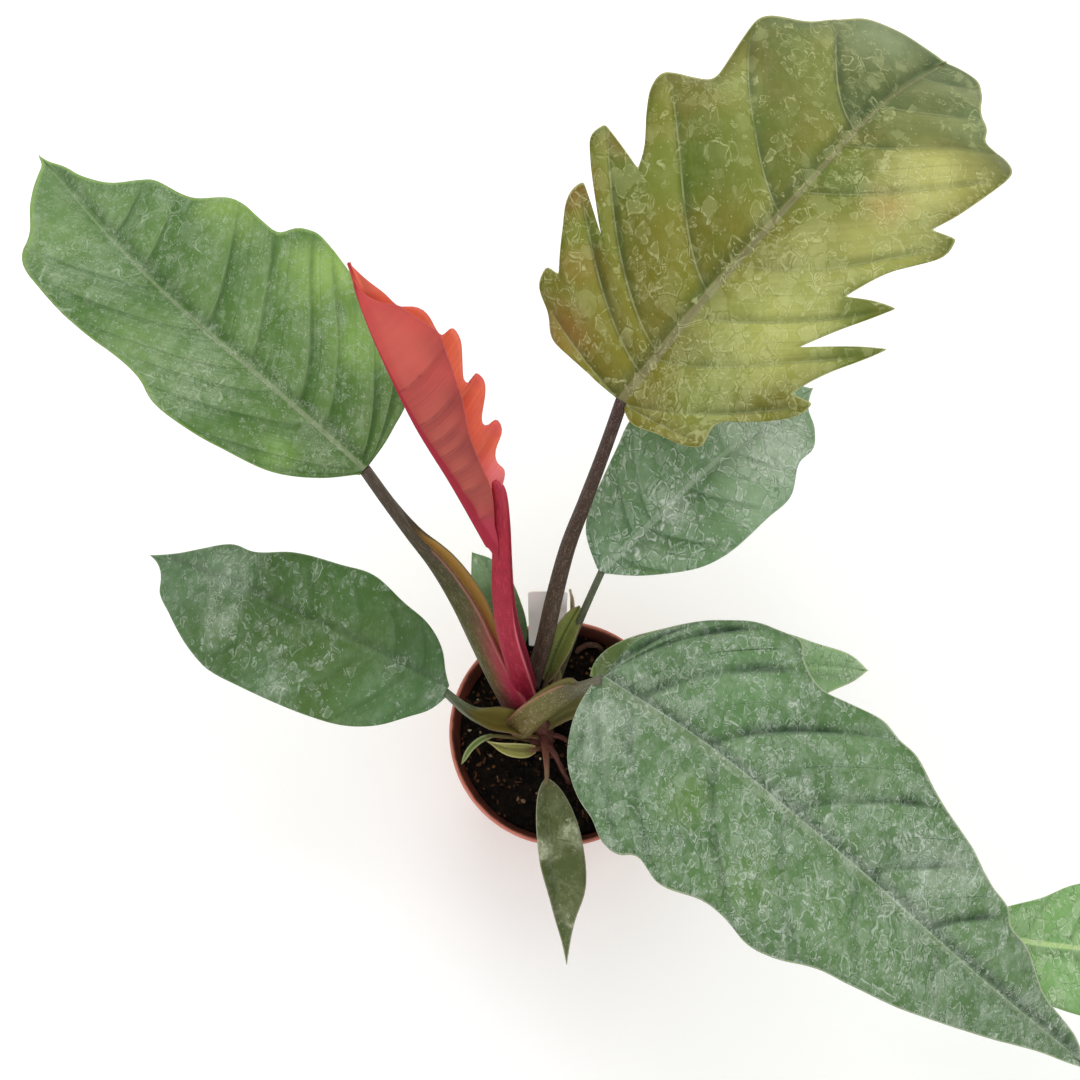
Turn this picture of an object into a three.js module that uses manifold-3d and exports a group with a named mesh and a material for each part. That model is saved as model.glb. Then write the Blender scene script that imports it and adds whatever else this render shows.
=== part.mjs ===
// A young lobed-leaf philodendron in a round plastic nursery pot. Millimetres, +Z up.
// The origin is the middle of the pot's flat underside. Every leaf is a thin curved blade
// that grows on a stalk from one short stem standing in the soil.
import * as THREE from 'three';
import { mergeVertices } from 'three/addons/utils/BufferGeometryUtils.js';
import Module from 'manifold-3d';

const wasm = await Module();
wasm.setup();

// Driving dimensions
const potHeight = 88;
const potRimRadius = 51;
const potBaseRadius = 37;
const potWall = 1.5;
const potFloor = 3;
const potLipHeight = 5;
const potLipOverhang = 1.6;
const drainHoleCount = 6;
const drainHoleRadius = 4;
const drainRingRadius = 25;
const soilLevel = 79;
const soilRelief = 1.1;
const gap = 0.3;
const bladeThickness = 0.8;
const bendWidth = 60;
const sideVeinPower = 1.4;
const sideVeinRows = [0, 0.08, 0.36, 0.7, 1];
const rippleShift = 0.6 * Math.PI;
const fullSheathWing = 3;
const cornerAllowance = 1.3;
const seatReach = 0.45;
const potFacets = 40;
const soilFacets = 32;
const labelSize = { width: 15, thickness: 0.8, length: 81, point: 12, corner: 2.5 };
const labelFoot = { x: -5.8, y: 39, z: 58 };
const labelLean = 7.8;

const radians = THREE.MathUtils.degToRad;

function paint(color, roughness = 0.6) {
  return new THREE.MeshStandardMaterial({ color, roughness, metalness: 0 });
}

const colors = {
  terracottaPlastic: '#b8604a',
  soil: '#231a13',
  label: '#dcd8d0',
  stem: '#6b3a32',
  root: '#5a342c',
  drySheath: '#a99a76',
  oliveBlade: '#7c7c3c',
  greenBlade: '#6b7f42',
  darkBlade: '#56694a',
  greyGreenBlade: '#71866a',
  lightBlade: '#7f9a70',
  redBlade: '#c0503f',
  yellowBlade: '#85803f',
  brownStalk: '#50403a',
  greyStalk: '#575045',
  crimsonStalk: '#96304a',
  oliveStalk: '#5f5536',
};

// Every blade is laid out flat in two numbers: distance along the midrib from the stalk, and
// distance out from the midrib. `left` and `right` are the cut edge of each half, stalk to tip.
// `fold` and `curl` are the angle each half leaves the midrib at and how far it bends on over
// `bendWidth`; `lean` is how far forward a side vein runs on its way out, at stalk and at tip.
const blades = {
  upper_right_blade: {
    color: colors.oliveBlade,
    spine: [[20, 98, 230], [49, 130, 246], [82, 166, 255], [121, 214, 247], [155, 248, 230]],
    face: [-0.13, 0, 1], fold: [12, 12], curl: [-12, -12], lean: [[20, 80], [44, 44]],
    ripple: { height: 1.5, length: 48 }, rib: [3.2, 1.2],
    left: [[0, 3], [0, 11], [1, 23], [2, 36], [8, 42], [15, 53], [22, 55], [22, 49], [36, 60], [49, 67],
      [54, 65], [49, 56], [43, 46], [51, 56], [63, 70], [70, 76], [78, 76], [74, 64], [70, 52],
      [78, 56], [93, 66], [105, 71], [115, 71], [120, 62], [124, 56], [137, 57], [150, 59], [160, 60],
      [173, 46], [184, 41], [195, 34], [204, 20]],
    right: [[-2, 4], [-4, 9], [-1, 19], [2, 31], [6, 37], [15, 35], [26, 48], [37, 58], [41, 58],
      [39, 50], [52, 55], [66, 62], [72, 65], [67, 57], [54, 41], [68, 48], [83, 58], [81, 50],
      [77, 41], [90, 47], [105, 59], [114, 58], [112, 49], [125, 54], [145, 59], [159, 57], [164, 50],
      [166, 42], [173, 39], [184, 30], [196, 24], [206, 16]],
  },
  upper_left_blade: {
    color: colors.greenBlade,
    spine: [[-76, 77, 215], [-106, 102, 225], [-140, 131, 228], [-178, 171, 218], [-220, 222, 200]],
    face: [0, -0.12, 1], fold: [28, 2], curl: [-22, -12], lean: [[40, 40], [40, 40]],
    ripple: { height: 2, length: 55 }, rib: [2.8, 1],
    left: [[0, 3], [9, 15], [22, 26], [35, 31], [52, 35], [71, 36], [78, 33], [93, 33], [107, 35],
      [120, 36], [135, 36], [151, 35], [157, 32], [165, 25], [180, 18], [191, 12], [201, 6]],
    right: [[0, 4], [1, 13], [3, 21], [5, 29], [12, 36], [25, 42], [41, 49], [60, 55], [74, 58],
      [83, 58], [89, 54], [91, 48], [103, 47], [118, 47], [125, 45], [137, 35], [151, 31], [160, 28],
      [171, 16], [186, 8], [199, 5]],
  },
  red_blade: {
    color: colors.redBlade,
    spine: [[-29, 54, 200], [-38, 68, 227], [-49, 83, 251], [-62, 103, 275], [-73, 119, 298]],
    face: [1, 0.1, 0.25], fold: [62, 62], curl: [45, 45], lean: [[45, 45], [45, 45]],
    ripple: { height: 0, length: 40 }, rib: [2.6, 1],
    left: [[4, 3], [12, 5], [23, 9], [40, 13], [59, 16], [81, 20], [92, 22], [102, 16], [107, 9],
      [114, 3]],
    right: [[4, 4], [10, 9], [23, 15], [34, 16], [43, 21], [49, 21], [48, 16], [52, 16], [60, 21],
      [68, 23], [67, 17], [75, 20], [86, 23], [86, 17], [98, 13], [106, 9], [116, 4]],
  },
  left_blade: {
    color: colors.darkBlade,
    spine: [[-50, 10, 125], [-78, 23, 136], [-111, 38, 140], [-149, 56, 134], [-183, 72, 122]],
    face: [0, -0.1, 1], fold: [6, 6], curl: [-20, -20], lean: [[48, 48], [48, 48]],
    ripple: { height: 1.5, length: 60 }, rib: [2.4, 0.9],
    left: [[-1, 2], [2, 9], [10, 17], [20, 26], [32, 32], [49, 35], [80, 36], [98, 35], [109, 31],
      [127, 20], [137, 13], [139, 8], [145, 2]],
    right: [[0, 3], [4, 7], [10, 15], [21, 22], [33, 25], [50, 30], [65, 28], [85, 25], [103, 18],
      [112, 18], [126, 11], [138, 5]],
  },
  lower_right_blade: {
    color: colors.greyGreenBlade,
    spine: [[15, 10, 150], [56, -22, 167], [107, -64, 164], [160, -105, 138], [218, -142, 92]],
    face: [0, -0.12, 1], fold: [8, 8], curl: [-11, -11], lean: [[62, 62], [62, 62]],
    ripple: { height: 2.5, length: 46 }, rib: [3.2, 1.2],
    left: [[0, 3], [1, 11], [4, 21], [15, 34], [29, 46], [41, 53], [51, 55], [59, 56], [62, 51],
      [73, 46], [84, 48], [98, 51], [107, 49], [117, 49], [134, 42], [147, 38], [157, 36], [172, 31],
      [187, 28], [191, 24], [204, 22], [227, 12], [256, 7]],
    right: [[-2, 4], [-1, 13], [2, 22], [8, 33], [15, 40], [23, 45], [33, 48], [43, 53], [51, 53],
      [56, 49], [70, 52], [88, 46], [98, 46], [110, 48], [121, 45], [135, 38], [148, 35], [168, 30],
      [190, 23], [210, 17], [241, 8], [265, 3]],
  },
  rear_right_blade: {
    color: colors.lightBlade,
    spine: [[15, 53, 160], [34, 70, 168], [60, 95, 171], [88, 121, 163], [110, 140, 150]],
    face: [0, -0.1, 1], fold: [8, 8], curl: [-16, -16], lean: [[48, 48], [48, 48]],
    ripple: { height: 1.5, length: 50 }, rib: [2.2, 0.9],
    left: [[0, 2], [3, 9], [7, 16], [13, 21], [25, 26], [41, 32], [55, 37], [74, 34], [91, 28],
      [115, 13]],
    right: [[1, 2], [8, 10], [17, 18], [31, 28], [40, 31], [49, 32], [66, 32], [79, 32], [88, 27],
      [95, 23], [104, 23], [112, 19], [117, 14], [121, 7]],
  },
  far_right_blade: {
    color: colors.lightBlade,
    spine: [[172, -87, 88], [203, -92, 92], [244, -97, 86], [300, -109, 60]],
    face: [0, -0.1, 1], fold: [8, 8], curl: [-14, -14], lean: [[45, 45], [45, 45]],
    ripple: { height: 1.5, length: 50 }, rib: [2.2, 0.9],
    left: [[0, 2], [7, 8], [19, 14], [31, 19], [48, 27], [70, 29], [92, 25], [112, 16], [126, 7]],
    right: [[0, 2], [6, 9], [18, 17], [34, 24], [54, 28], [78, 28], [98, 22], [116, 13], [127, 6]],
  },
  low_right_blade: {
    color: colors.greenBlade,
    spine: [[16, 18, 112], [56, 21, 119], [96, 22, 118], [135, 23, 108]],
    face: [0, -0.1, 1], fold: [8, 8], curl: [-18, -18], lean: [[40, 40], [40, 40]],
    ripple: { height: 1, length: 40 }, rib: [1.8, 0.8],
    left: [[1, 3], [6, 9], [14, 14], [28, 18], [54, 21], [75, 17], [96, 11], [114, 6]],
    right: [[1, 2], [7, 9], [21, 17], [42, 24], [68, 23], [91, 16], [102, 10], [114, 5]],
  },
};

const smallBlades = {
  front_leaf: {
    color: colors.darkBlade,
    spine: [[-7, -25, 106], [-5, -44, 109], [-2, -70, 97], [2, -101, 64]],
    face: [0, -0.3, 1], fold: [14, 14], curl: [-30, -30], lean: [[30, 30], [30, 30]],
    ripple: { height: 0, length: 30 }, rib: [1.4, 0.6],
    left: [[2, 3], [10, 8], [18, 11], [34, 13], [48, 12], [65, 6], [83, 2]],
    right: [[2, 3], [12, 6], [26, 7], [36, 7], [48, 5], [65, 3], [80, 1]],
  },
  rear_left_leaf: {
    color: colors.greenBlade,
    spine: [[-24, 27, 100], [-29, 44, 116], [-32, 59, 127], [-40, 77, 130]],
    face: [0, -0.2, 1], fold: [15, 15], curl: [-25, -25], lean: [[30, 30], [30, 30]],
    ripple: { height: 0, length: 30 }, rib: [1.4, 0.6],
    left: [[1, 3], [7, 8], [19, 12], [40, 11], [55, 5]],
    right: [[1, 3], [7, 9], [20, 13], [38, 11], [54, 5]],
  },
  upright_leaf: {
    color: colors.yellowBlade,
    spine: [[-7, 20, 101], [-4, 28, 114], [1, 37, 124], [7, 46, 132]],
    face: [-0.3, -1, 0.9], fold: [30, 30], curl: [30, 30], lean: [[20, 20], [20, 20]],
    ripple: { height: 0, length: 30 }, rib: [1.2, 0.5],
    left: [[0, 1.5], [10, 3.6], [22, 4.6], [34, 4.2], [42, 2]],
    right: [[0, 1.5], [10, 4], [22, 5.2], [34, 4.6], [42, 2.4]],
  },
  yellow_leaf: {
    color: colors.yellowBlade,
    spine: [[-12, -10, 96], [-19, -11, 101], [-26, -10, 101], [-34, -6, 95]],
    face: [0, -0.2, 1], fold: [25, 25], curl: [10, 10], lean: [[20, 20], [20, 20]],
    ripple: { height: 0, length: 30 }, rib: [1, 0.4],
    left: [[0, 1.5], [5, 3.6], [11, 3.6], [17, 2.2], [21, 1]],
    right: [[0, 1.5], [5, 2.8], [11, 3], [17, 2], [21, 1]],
  },
  narrow_leaf: {
    color: colors.greenBlade,
    spine: [[-31, -4, 97], [-36, -6, 98], [-41, -10, 96], [-45, -16, 91]],
    face: [0, -0.2, 1], fold: [20, 20], curl: [0, 0], lean: [[20, 20], [20, 20]],
    ripple: { height: 0, length: 30 }, rib: [0.8, 0.4],
    left: [[0, 0.8], [5, 1.2], [12, 1.3], [18, 0.9]],
    right: [[0, 0.8], [5, 1.2], [12, 1.3], [18, 0.9]],
  },
};

const halves = { left: 0, right: 1 };

function spineCurve(points) {
  const corners = points.map((point) => new THREE.Vector3(...point));
  return new THREE.CatmullRomCurve3(corners, false, 'catmullrom', 0.5);
}

// The midrib's place and directions at a distance from the stalk, also a little before the stalk.
function spineFrame(curve, length, face, along) {
  const share = THREE.MathUtils.clamp(along / length, 0, 1);
  const tangent = curve.getTangentAt(share);
  const place = curve.getPointAt(share).addScaledVector(tangent, along - share * length);
  const normal = face.clone().addScaledVector(tangent, -face.dot(tangent)).normalize();
  const across = tangent.clone().cross(normal);
  return { place, normal, across };
}

// A point of one half of the blade: out from the midrib along an arc, with the edge's ripple.
function bladePoint(leaf, side, along, out) {
  const { place, normal, across } = spineFrame(leaf.curve, leaf.length, leaf.faceVector, along);
  const halfBend = (radians(leaf.curl[side]) * out) / bendWidth / 2;
  const chord = halfBend === 0 ? out : (out * Math.sin(halfBend)) / halfBend;
  const angle = radians(leaf.fold[side]) + halfBend;
  const edgeShare = (out / bendWidth) ** 2;
  const phase = (2 * Math.PI * along) / leaf.ripple.length + side * rippleShift;
  const lift = chord * Math.sin(angle) + leaf.ripple.height * edgeShare * Math.sin(phase);
  const sign = side === halves.left ? -1 : 1;
  return place.addScaledVector(across, sign * chord * Math.cos(angle)).addScaledVector(normal, lift);
}

// Both halves need as many edge points as each other, so the shorter list gets more in its gaps.
function splitLongest(outline, count) {
  const points = outline.map((point) => [...point]);
  while (points.length < count) {
    let widest = 0;
    for (let i = 1; i < points.length - 1; i += 1) {
      const span = (k) => Math.hypot(points[k + 1][0] - points[k][0], points[k + 1][1] - points[k][1]);
      if (span(i) > span(widest)) widest = i;
    }
    const [a, b] = [points[widest], points[widest + 1]];
    points.splice(widest + 1, 0, [(a[0] + b[0]) / 2, (a[1] + b[1]) / 2]);
  }
  return points;
}

// Where on the midrib the side vein starts that ends at each edge point.
function veinStarts(leaf, side, outline) {
  const [leanAtStalk, leanAtTip] = leaf.lean[side];
  let start = 0;
  return outline.map(([along, out]) => {
    const share = THREE.MathUtils.clamp(along / leaf.length, 0, 1);
    const lean = THREE.MathUtils.lerp(leanAtStalk, leanAtTip, share);
    const wanted = along - lean * (out / bendWidth) ** sideVeinPower;
    start = Math.max(start, THREE.MathUtils.clamp(wanted, 0, leaf.length));
    return start;
  });
}

function flatArea(a, b, c) {
  return (b[0] - a[0]) * (c[1] - a[1]) - (b[1] - a[1]) * (c[0] - a[0]);
}

// Splits a four-sided patch along the diagonal that keeps both halves facing the same way.
function splitPatch(corners, flat) {
  const choices = [[[0, 1, 2], [0, 2, 3]], [[0, 1, 3], [1, 2, 3]]];
  const worst = (pair) => Math.min(...pair.map((t) => flatArea(flat[t[0]], flat[t[1]], flat[t[2]])));
  const best = worst(choices[0]) >= worst(choices[1]) ? choices[0] : choices[1];
  return best.map((triangle) => triangle.map((k) => corners[k]));
}

// The middle surface of a blade: rows run out from the midrib along the side veins.
function bladeSurface(leaf) {
  const rows = sideVeinRows;
  const count = Math.max(leaf.left.length, leaf.right.length);
  const points = [];
  const rib = [];
  const triangles = [];
  const tip = [leaf.length, 0];
  const outlines = Object.keys(halves).map((name) => [...splitLongest(leaf[name], count), tip]);
  const starts = outlines.map((outline, side) => veinStarts(leaf, side, outline));
  outlines.forEach((outline, side) => {
    const first = points.length;
    const flat = [];
    outline.forEach(([edgeAlong, edgeOut], i) => {
      const shared = (starts[0][i] + starts[1][i]) / 2;
      rows.forEach((t) => {
        const start = t === 0 ? shared : starts[side][i];
        const along = start + (edgeAlong - start) * t ** sideVeinPower;
        flat.push([along, edgeOut * t]);
        points.push(bladePoint(leaf, side, along, edgeOut * t));
        rib.push(t === 0 ? THREE.MathUtils.lerp(...leaf.rib, shared / leaf.length) : 0);
      });
    });
    for (let i = 0; i < outline.length - 1; i += 1) {
      for (let j = 0; j < rows.length - 1; j += 1) {
        const a = i * rows.length + j;
        const patch = [a, a + rows.length, a + rows.length + 1, a + 1];
        splitPatch(patch, patch.map((k) => flat[k])).forEach((triangle) => {
          const corners = triangle.map((k) => k + first);
          triangles.push(side === halves.left ? corners : corners.reverse());
        });
      }
    }
  });
  return { points, rib, triangles };
}

// Joins points that lie in one place and drops the triangles that this empties.
function weld({ points, rib, triangles }) {
  const seen = new Map();
  const kept = [];
  const keptRib = [];
  const index = points.map((point, k) => {
    const key = point.toArray().map((value) => Math.round(value * 1000)).join();
    if (!seen.has(key)) {
      seen.set(key, kept.length);
      kept.push(point);
      keptRib.push(rib[k]);
    }
    return seen.get(key);
  });
  const joined = triangles.map((triangle) => triangle.map((k) => index[k]));
  const whole = joined.filter(([a, b, c]) => a !== b && b !== c && c !== a);
  return { points: kept, rib: keptRib, triangles: whole };
}

function pointNormals(points, triangles) {
  const normals = points.map(() => new THREE.Vector3());
  triangles.forEach(([a, b, c]) => {
    const ab = points[b].clone().sub(points[a]);
    const ac = points[c].clone().sub(points[a]);
    const cross = ab.cross(ac);
    [a, b, c].forEach((k) => normals[k].add(cross));
  });
  return normals.map((normal) => normal.normalize());
}

function geometryOf(points, triangles) {
  const geometry = new THREE.BufferGeometry();
  geometry.setAttribute('position', new THREE.Float32BufferAttribute(points.flatMap((p) => p.toArray()), 3));
  geometry.setIndex(triangles.flat());
  return geometry;
}

// Gives a surface its thickness, with the midrib standing out below, and closes the edge.
function thicken({ points, rib, triangles }, clearance) {
  const normals = pointNormals(points, triangles);
  const half = bladeThickness / 2 + clearance;
  const upper = points.map((point, k) => point.clone().addScaledVector(normals[k], half));
  const lower = points.map((point, k) => point.clone().addScaledVector(normals[k], -half - rib[k]));
  const all = [...upper, ...lower];
  const faces = triangles.map((triangle) => [...triangle]);
  triangles.forEach(([a, b, c]) => faces.push([c, b, a].map((k) => k + points.length)));
  const edges = new Set(triangles.flatMap(([a, b, c]) => [`${a},${b}`, `${b},${c}`, `${c},${a}`]));
  edges.forEach((edge) => {
    const [a, b] = edge.split(',').map(Number);
    if (edges.has(`${b},${a}`)) return;
    faces.push([b, a, a + points.length], [b, a + points.length, b + points.length]);
  });
  return geometryOf(all, faces);
}

function bladeGeometry(blade, clearance = 0) {
  const curve = spineCurve(blade.spine);
  const faceVector = new THREE.Vector3(...blade.face).normalize();
  const leaf = { ...blade, curve, faceVector, length: curve.getLength() };
  return thicken(weld(bladeSurface(leaf)), clearance);
}

// A stalk is a tapered rod along `path`. Where `wing` is above 0 its two edges rise into a
// sheath that is open towards `face`: `spread` leans the two edges apart or, below 0, together.
// path: [x, y, z, radius, wing height, spread]
const stalks = {
  red_stalk: {
    color: colors.crimsonStalk, face: [0.9, 0.1, 0.4], facets: 12,
    path: [[-17.5, 14.4, 100, 4.4, 3, -0.3], [-20.6, 22.3, 128, 3.8, 3.2, 0.1],
      [-23.9, 31.7, 152, 3.5, 3, 0.2], [-25.9, 40.5, 174, 3.3, 2, 0.1], [-26.6, 48.9, 190, 3, 0.6, 0],
      [-29.8, 55.4, 202.6, 2.2, 0, 0]],
  },
  upper_left_stalk: {
    color: colors.greyStalk, face: [0.8, 0.1, 0.5], facets: 12,
    path: [[-22.4, 11.1, 97, 5.2, 4.5, -0.3], [-28.4, 19.9, 111, 5, 4.5, -0.1],
      [-35.8, 32.2, 127, 4.6, 4.8, 0.1], [-43.4, 44, 147, 4, 5.5, 0.2], [-52, 54.1, 166, 3.2, 4.5, 0.2],
      [-61, 62.2, 183, 2.7, 1.5, 0],
      [-69, 70, 199, 2.5, 0, 0], [-76, 77, 213.5, 2.3, 0, 0]],
  },
  upper_right_stalk: {
    color: colors.brownStalk, face: [0.2, -0.6, 0.8], facets: 12,
    path: [[-13.5, 19.3, 99, 4, 0, 0], [-8.2, 31.7, 122, 3.9, 0, 0], [-4, 45.6, 145, 3.7, 0, 0],
      [1.4, 60.5, 170, 3.3, 0, 0], [8.1, 72.9, 192, 2.9, 0, 0], [14.8, 85.9, 213, 2.6, 0, 0],
      [20, 97.6, 229, 2.5, 0, 0]],
  },
  lower_right_stalk: {
    color: colors.oliveStalk, face: [-0.35, 0.75, 0.55], facets: 12,
    path: [[-18.6, -2, 99, 4.8, 3.5, 0], [-9.9, 2.4, 119, 4.5, 3.5, 0], [-1.1, 6, 133, 3.8, 2.5, 0],
      [7.8, 8.4, 143, 2.6, 0.4, 0], [14.6, 10.6, 149.4, 2.2, 0, 0]],
  },
  left_stalk: {
    color: colors.oliveStalk, face: [0.1, 0.1, 1], facets: 12,
    path: [[-14, -2, 92, 3, 2.5, 0.2], [-24, -0.4, 102, 2.8, 3.2, 0.4], [-33.9, 0.6, 109, 2.6, 3, 0.5],
      [-41.4, 3.5, 116, 2.2, 1.2, 0.3], [-49.3, 9.2, 124.4, 1.8, 0, 0]],
  },
  rear_right_stalk: {
    color: colors.greyStalk, face: [0, -0.6, 0.8], facets: 10,
    path: [[-3.5, 17, 88, 2, 0, 0], [-2, 22, 96, 2, 0, 0], [4.1, 34.9, 117, 1.8, 0, 0],
      [10, 44.7, 140, 1.6, 0, 0], [14.8, 52.3, 158.6, 1.5, 0, 0]],
  },
  far_right_stalk: {
    color: colors.oliveStalk, face: [0, 0, 1], facets: 12,
    path: [[-7, 1.5, 91, 2.8, 2, 0.2], [3.5, 7.6, 95, 2.8, 4, 0.6], [16.9, 8, 97, 2.4, 4.5, 0.6],
      [43, -4, 97, 2, 1, 0.2], [91, -33, 95, 1.8, 0, 0], [137, -66, 92, 1.6, 0, 0],
      [171, -86.4, 88, 1.4, 0, 0]],
  },
  low_right_stalk: {
    color: colors.oliveStalk, face: [0, 0, 1], facets: 8,
    path: [[-5.5, 11, 88, 1.8, 0, 0], [2, 15, 98, 1.7, 0, 0], [8, 17, 106, 1.5, 0, 0],
      [15.2, 17.8, 112, 1.3, 0, 0]],
  },
};

// The stalks of the small leaves are one piece with their blades: [x, y, z, radius].
const smallStalks = {
  front_leaf: [[-8.5, -4, 92, 1.8], [-7.6, -11, 100, 1.6], [-7, -19, 105, 1.2], [-7, -27, 106.5, 0.9]],
  rear_left_leaf: [[-15, 9, 72, 1.7], [-19, 17, 90, 1.5], [-24, 27, 100, 1.3], [-26, 32, 105, 1.1]],
  upright_leaf: [[-8, 12, 88, 1.6], [-8, 16, 95, 1.5], [-7, 20, 101, 1.2], [-6, 23, 106, 0.9]],
  yellow_leaf: [[-8.5, -5.5, 88, 1.2], [-10.5, -8.5, 93, 1.1], [-12, -10, 96, 1], [-15, -10.8, 98, 0.8]],
  narrow_leaf: [[-14.5, -5, 90, 0.9], [-22, -4.5, 95, 0.9], [-31, -4.2, 97, 0.8], [-34, -5, 98, 0.7]],
};

// The stalk's section at one place: a round rod, or a channel with two thin raised edges.
function stalkSection(facets, radius, wing, spread) {
  const below = Math.round(facets / 2) - 1;
  const rounded = [];
  for (let i = 0; i < below; i += 1) {
    const angle = -Math.PI / 2 + (i / (below - 1)) * (Math.PI / 2);
    rounded.push([radius * Math.cos(angle), radius * Math.sin(angle)]);
  }
  const open = Math.min(1, wing / fullSheathWing);
  const shade = (whenRound, whenOpen) => THREE.MathUtils.lerp(whenRound, whenOpen, open);
  const tip = [radius * shade(0.72, 0.95) + spread * wing, radius * 0.7 + wing];
  const inner = [tip[0] - 0.35 * radius - 0.5 * open, shade(radius * 0.93, tip[1] - 0.4)];
  const floor = [0, radius * shade(1, 0.25)];
  const half = [...rounded.slice(1), tip, inner];
  const mirrored = half.map(([x, y]) => [-x, y]).reverse();
  return [rounded[0], ...half, floor, ...mirrored];
}

// A closed rod through sections of equal point counts, with flat ends.
function loft(sections, rings) {
  const count = sections[0].length;
  const triangles = [];
  for (let i = 0; i < rings.length - 1; i += 1) {
    for (let j = 0; j < count; j += 1) {
      const next = (j + 1) % count;
      const [a, b] = [i * count + j, i * count + next];
      triangles.push([a, b, b + count], [a, b + count, a + count]);
    }
  }
  const cap = (section) => THREE.ShapeUtils.triangulateShape(section.map((p) => new THREE.Vector2(...p)), []);
  const last = (rings.length - 1) * count;
  cap(sections[0]).forEach(([a, b, c]) => triangles.push([c, b, a]));
  cap(sections[sections.length - 1]).forEach(([a, b, c]) => triangles.push([a, b, c].map((k) => k + last)));
  return geometryOf(rings.flat(), triangles);
}

// Moves each side of a section outwards by a clearance.
function widen(section, clearance) {
  return section.map((point, i) => {
    const before = section[(i + section.length - 1) % section.length];
    const after = section[(i + 1) % section.length];
    const side = new THREE.Vector2(after[0] - before[0], after[1] - before[1]).normalize();
    return [point[0] + side.y * clearance, point[1] - side.x * clearance];
  });
}

// `clearance` fattens the rod, to cut the seat that a neighbour needs round it.
function stalkGeometry(stalk, clearance = 0) {
  const curve = spineCurve(stalk.path);
  const face = new THREE.Vector3(...stalk.face).normalize();
  const steps = (stalk.path.length - 1) * 2;
  const sections = [];
  const rings = [];
  for (let i = 0; i <= steps; i += 1) {
    const position = (i / steps) * (stalk.path.length - 1);
    const k = Math.min(Math.floor(position), stalk.path.length - 2);
    const [radius, wing, spread] = stalk.path[k].slice(3).map((value, column) =>
      THREE.MathUtils.lerp(value, stalk.path[k + 1][3 + column], position - k));
    const place = curve.getPoint(i / steps);
    const tangent = curve.getTangent(i / steps);
    const normal = face.clone().addScaledVector(tangent, -face.dot(tangent)).normalize();
    const across = normal.clone().cross(tangent);
    const plain = stalkSection(stalk.facets, radius, wing, spread);
    const section = widen(plain, clearance * cornerAllowance);
    if (i === 0) place.addScaledVector(tangent, -clearance);
    if (i === steps) place.addScaledVector(tangent, clearance);
    sections.push(section);
    rings.push(section.map(([x, y]) => place.clone().addScaledVector(across, x).addScaledVector(normal, y)));
  }
  return loft(sections, rings);
}

function toSolid(geometry) {
  const bare = geometry.clone();
  bare.deleteAttribute('normal');
  bare.deleteAttribute('uv');
  const merged = mergeVertices(bare, 1e-4);
  const vertProperties = new Float32Array(merged.getAttribute('position').array);
  const triVerts = new Uint32Array(merged.getIndex().array);
  return new wasm.Manifold(new wasm.Mesh({ numProp: 3, vertProperties, triVerts }));
}

function largest(solid) {
  const pieces = solid.decompose();
  return pieces.reduce((best, piece) => (piece.volume() > best.volume() ? piece : best));
}

function fromSolid(solid) {
  const mesh = solid.getMesh();
  const geometry = new THREE.BufferGeometry();
  geometry.setAttribute('position', new THREE.BufferAttribute(mesh.vertProperties, 3));
  geometry.setIndex(new THREE.BufferAttribute(mesh.triVerts, 1));
  return geometry;
}

const plant = new THREE.Group();

function add(name, geometry, color, roughness) {
  const mesh = new THREE.Mesh(geometry, paint(color, roughness));
  mesh.name = name;
  plant.add(mesh);
}

// Pot: a tapered thin wall with a rolled lip and drain holes in its flat floor.
function potRadiusAt(height) {
  return THREE.MathUtils.lerp(potBaseRadius, potRimRadius - potLipOverhang, height / potHeight);
}

function potSolid() {
  const lipBottom = potHeight - potLipHeight;
  const profile = [
    [0, 0], [potBaseRadius - 1, 0], [potRadiusAt(1), 1], [potRadiusAt(lipBottom), lipBottom],
    [potRimRadius - 0.3, lipBottom + 0.4], [potRimRadius, potHeight - 1], [potRimRadius - 0.6, potHeight],
    [potRimRadius - 1.8, potHeight], [potRadiusAt(potHeight - 2) - potWall, potHeight - 2],
    [potRadiusAt(potFloor) - potWall, potFloor], [0, potFloor],
  ];
  const wall = new THREE.LatheGeometry(profile.map(([r, z]) => new THREE.Vector2(r, z)), potFacets);
  let solid = toSolid(wall.rotateX(Math.PI / 2));
  for (let i = 0; i < drainHoleCount; i += 1) {
    const angle = (i / drainHoleCount) * 2 * Math.PI;
    const hole = new THREE.CylinderGeometry(drainHoleRadius, drainHoleRadius, potFloor * 3, 12);
    hole.rotateX(Math.PI / 2);
    hole.translate(drainRingRadius * Math.cos(angle), drainRingRadius * Math.sin(angle), potFloor / 2);
    solid = solid.subtract(toSolid(hole));
  }
  return solid;
}

// The soil's surface rises and falls a little.
function soilHeight(x, y) {
  const roll = Math.sin(x * 0.16 + 1) * Math.cos(y * 0.13) + 0.6 * Math.sin(x * 0.31 - y * 0.27);
  return soilLevel + soilRelief * roll;
}

function soilSolid() {
  const inner = (height) => potRadiusAt(height) - potWall - gap;
  const [bottom, shoulder] = [potFloor + gap, soilLevel - 2];
  const profile = [[0, bottom], [inner(potFloor), bottom], [inner(shoulder), shoulder]];
  [0.8, 0.6, 0.4, 0.2, 0].forEach((share) => profile.push([inner(soilLevel) * share, soilLevel]));
  const geometry = new THREE.LatheGeometry(profile.map(([r, z]) => new THREE.Vector2(r, z)), soilFacets);
  geometry.rotateX(Math.PI / 2);
  const place = geometry.getAttribute('position');
  for (let i = 0; i < place.count; i += 1) {
    if (place.getZ(i) > soilLevel - 1) place.setZ(i, soilHeight(place.getX(i), place.getY(i)));
  }
  return toSolid(geometry);
}

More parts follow.
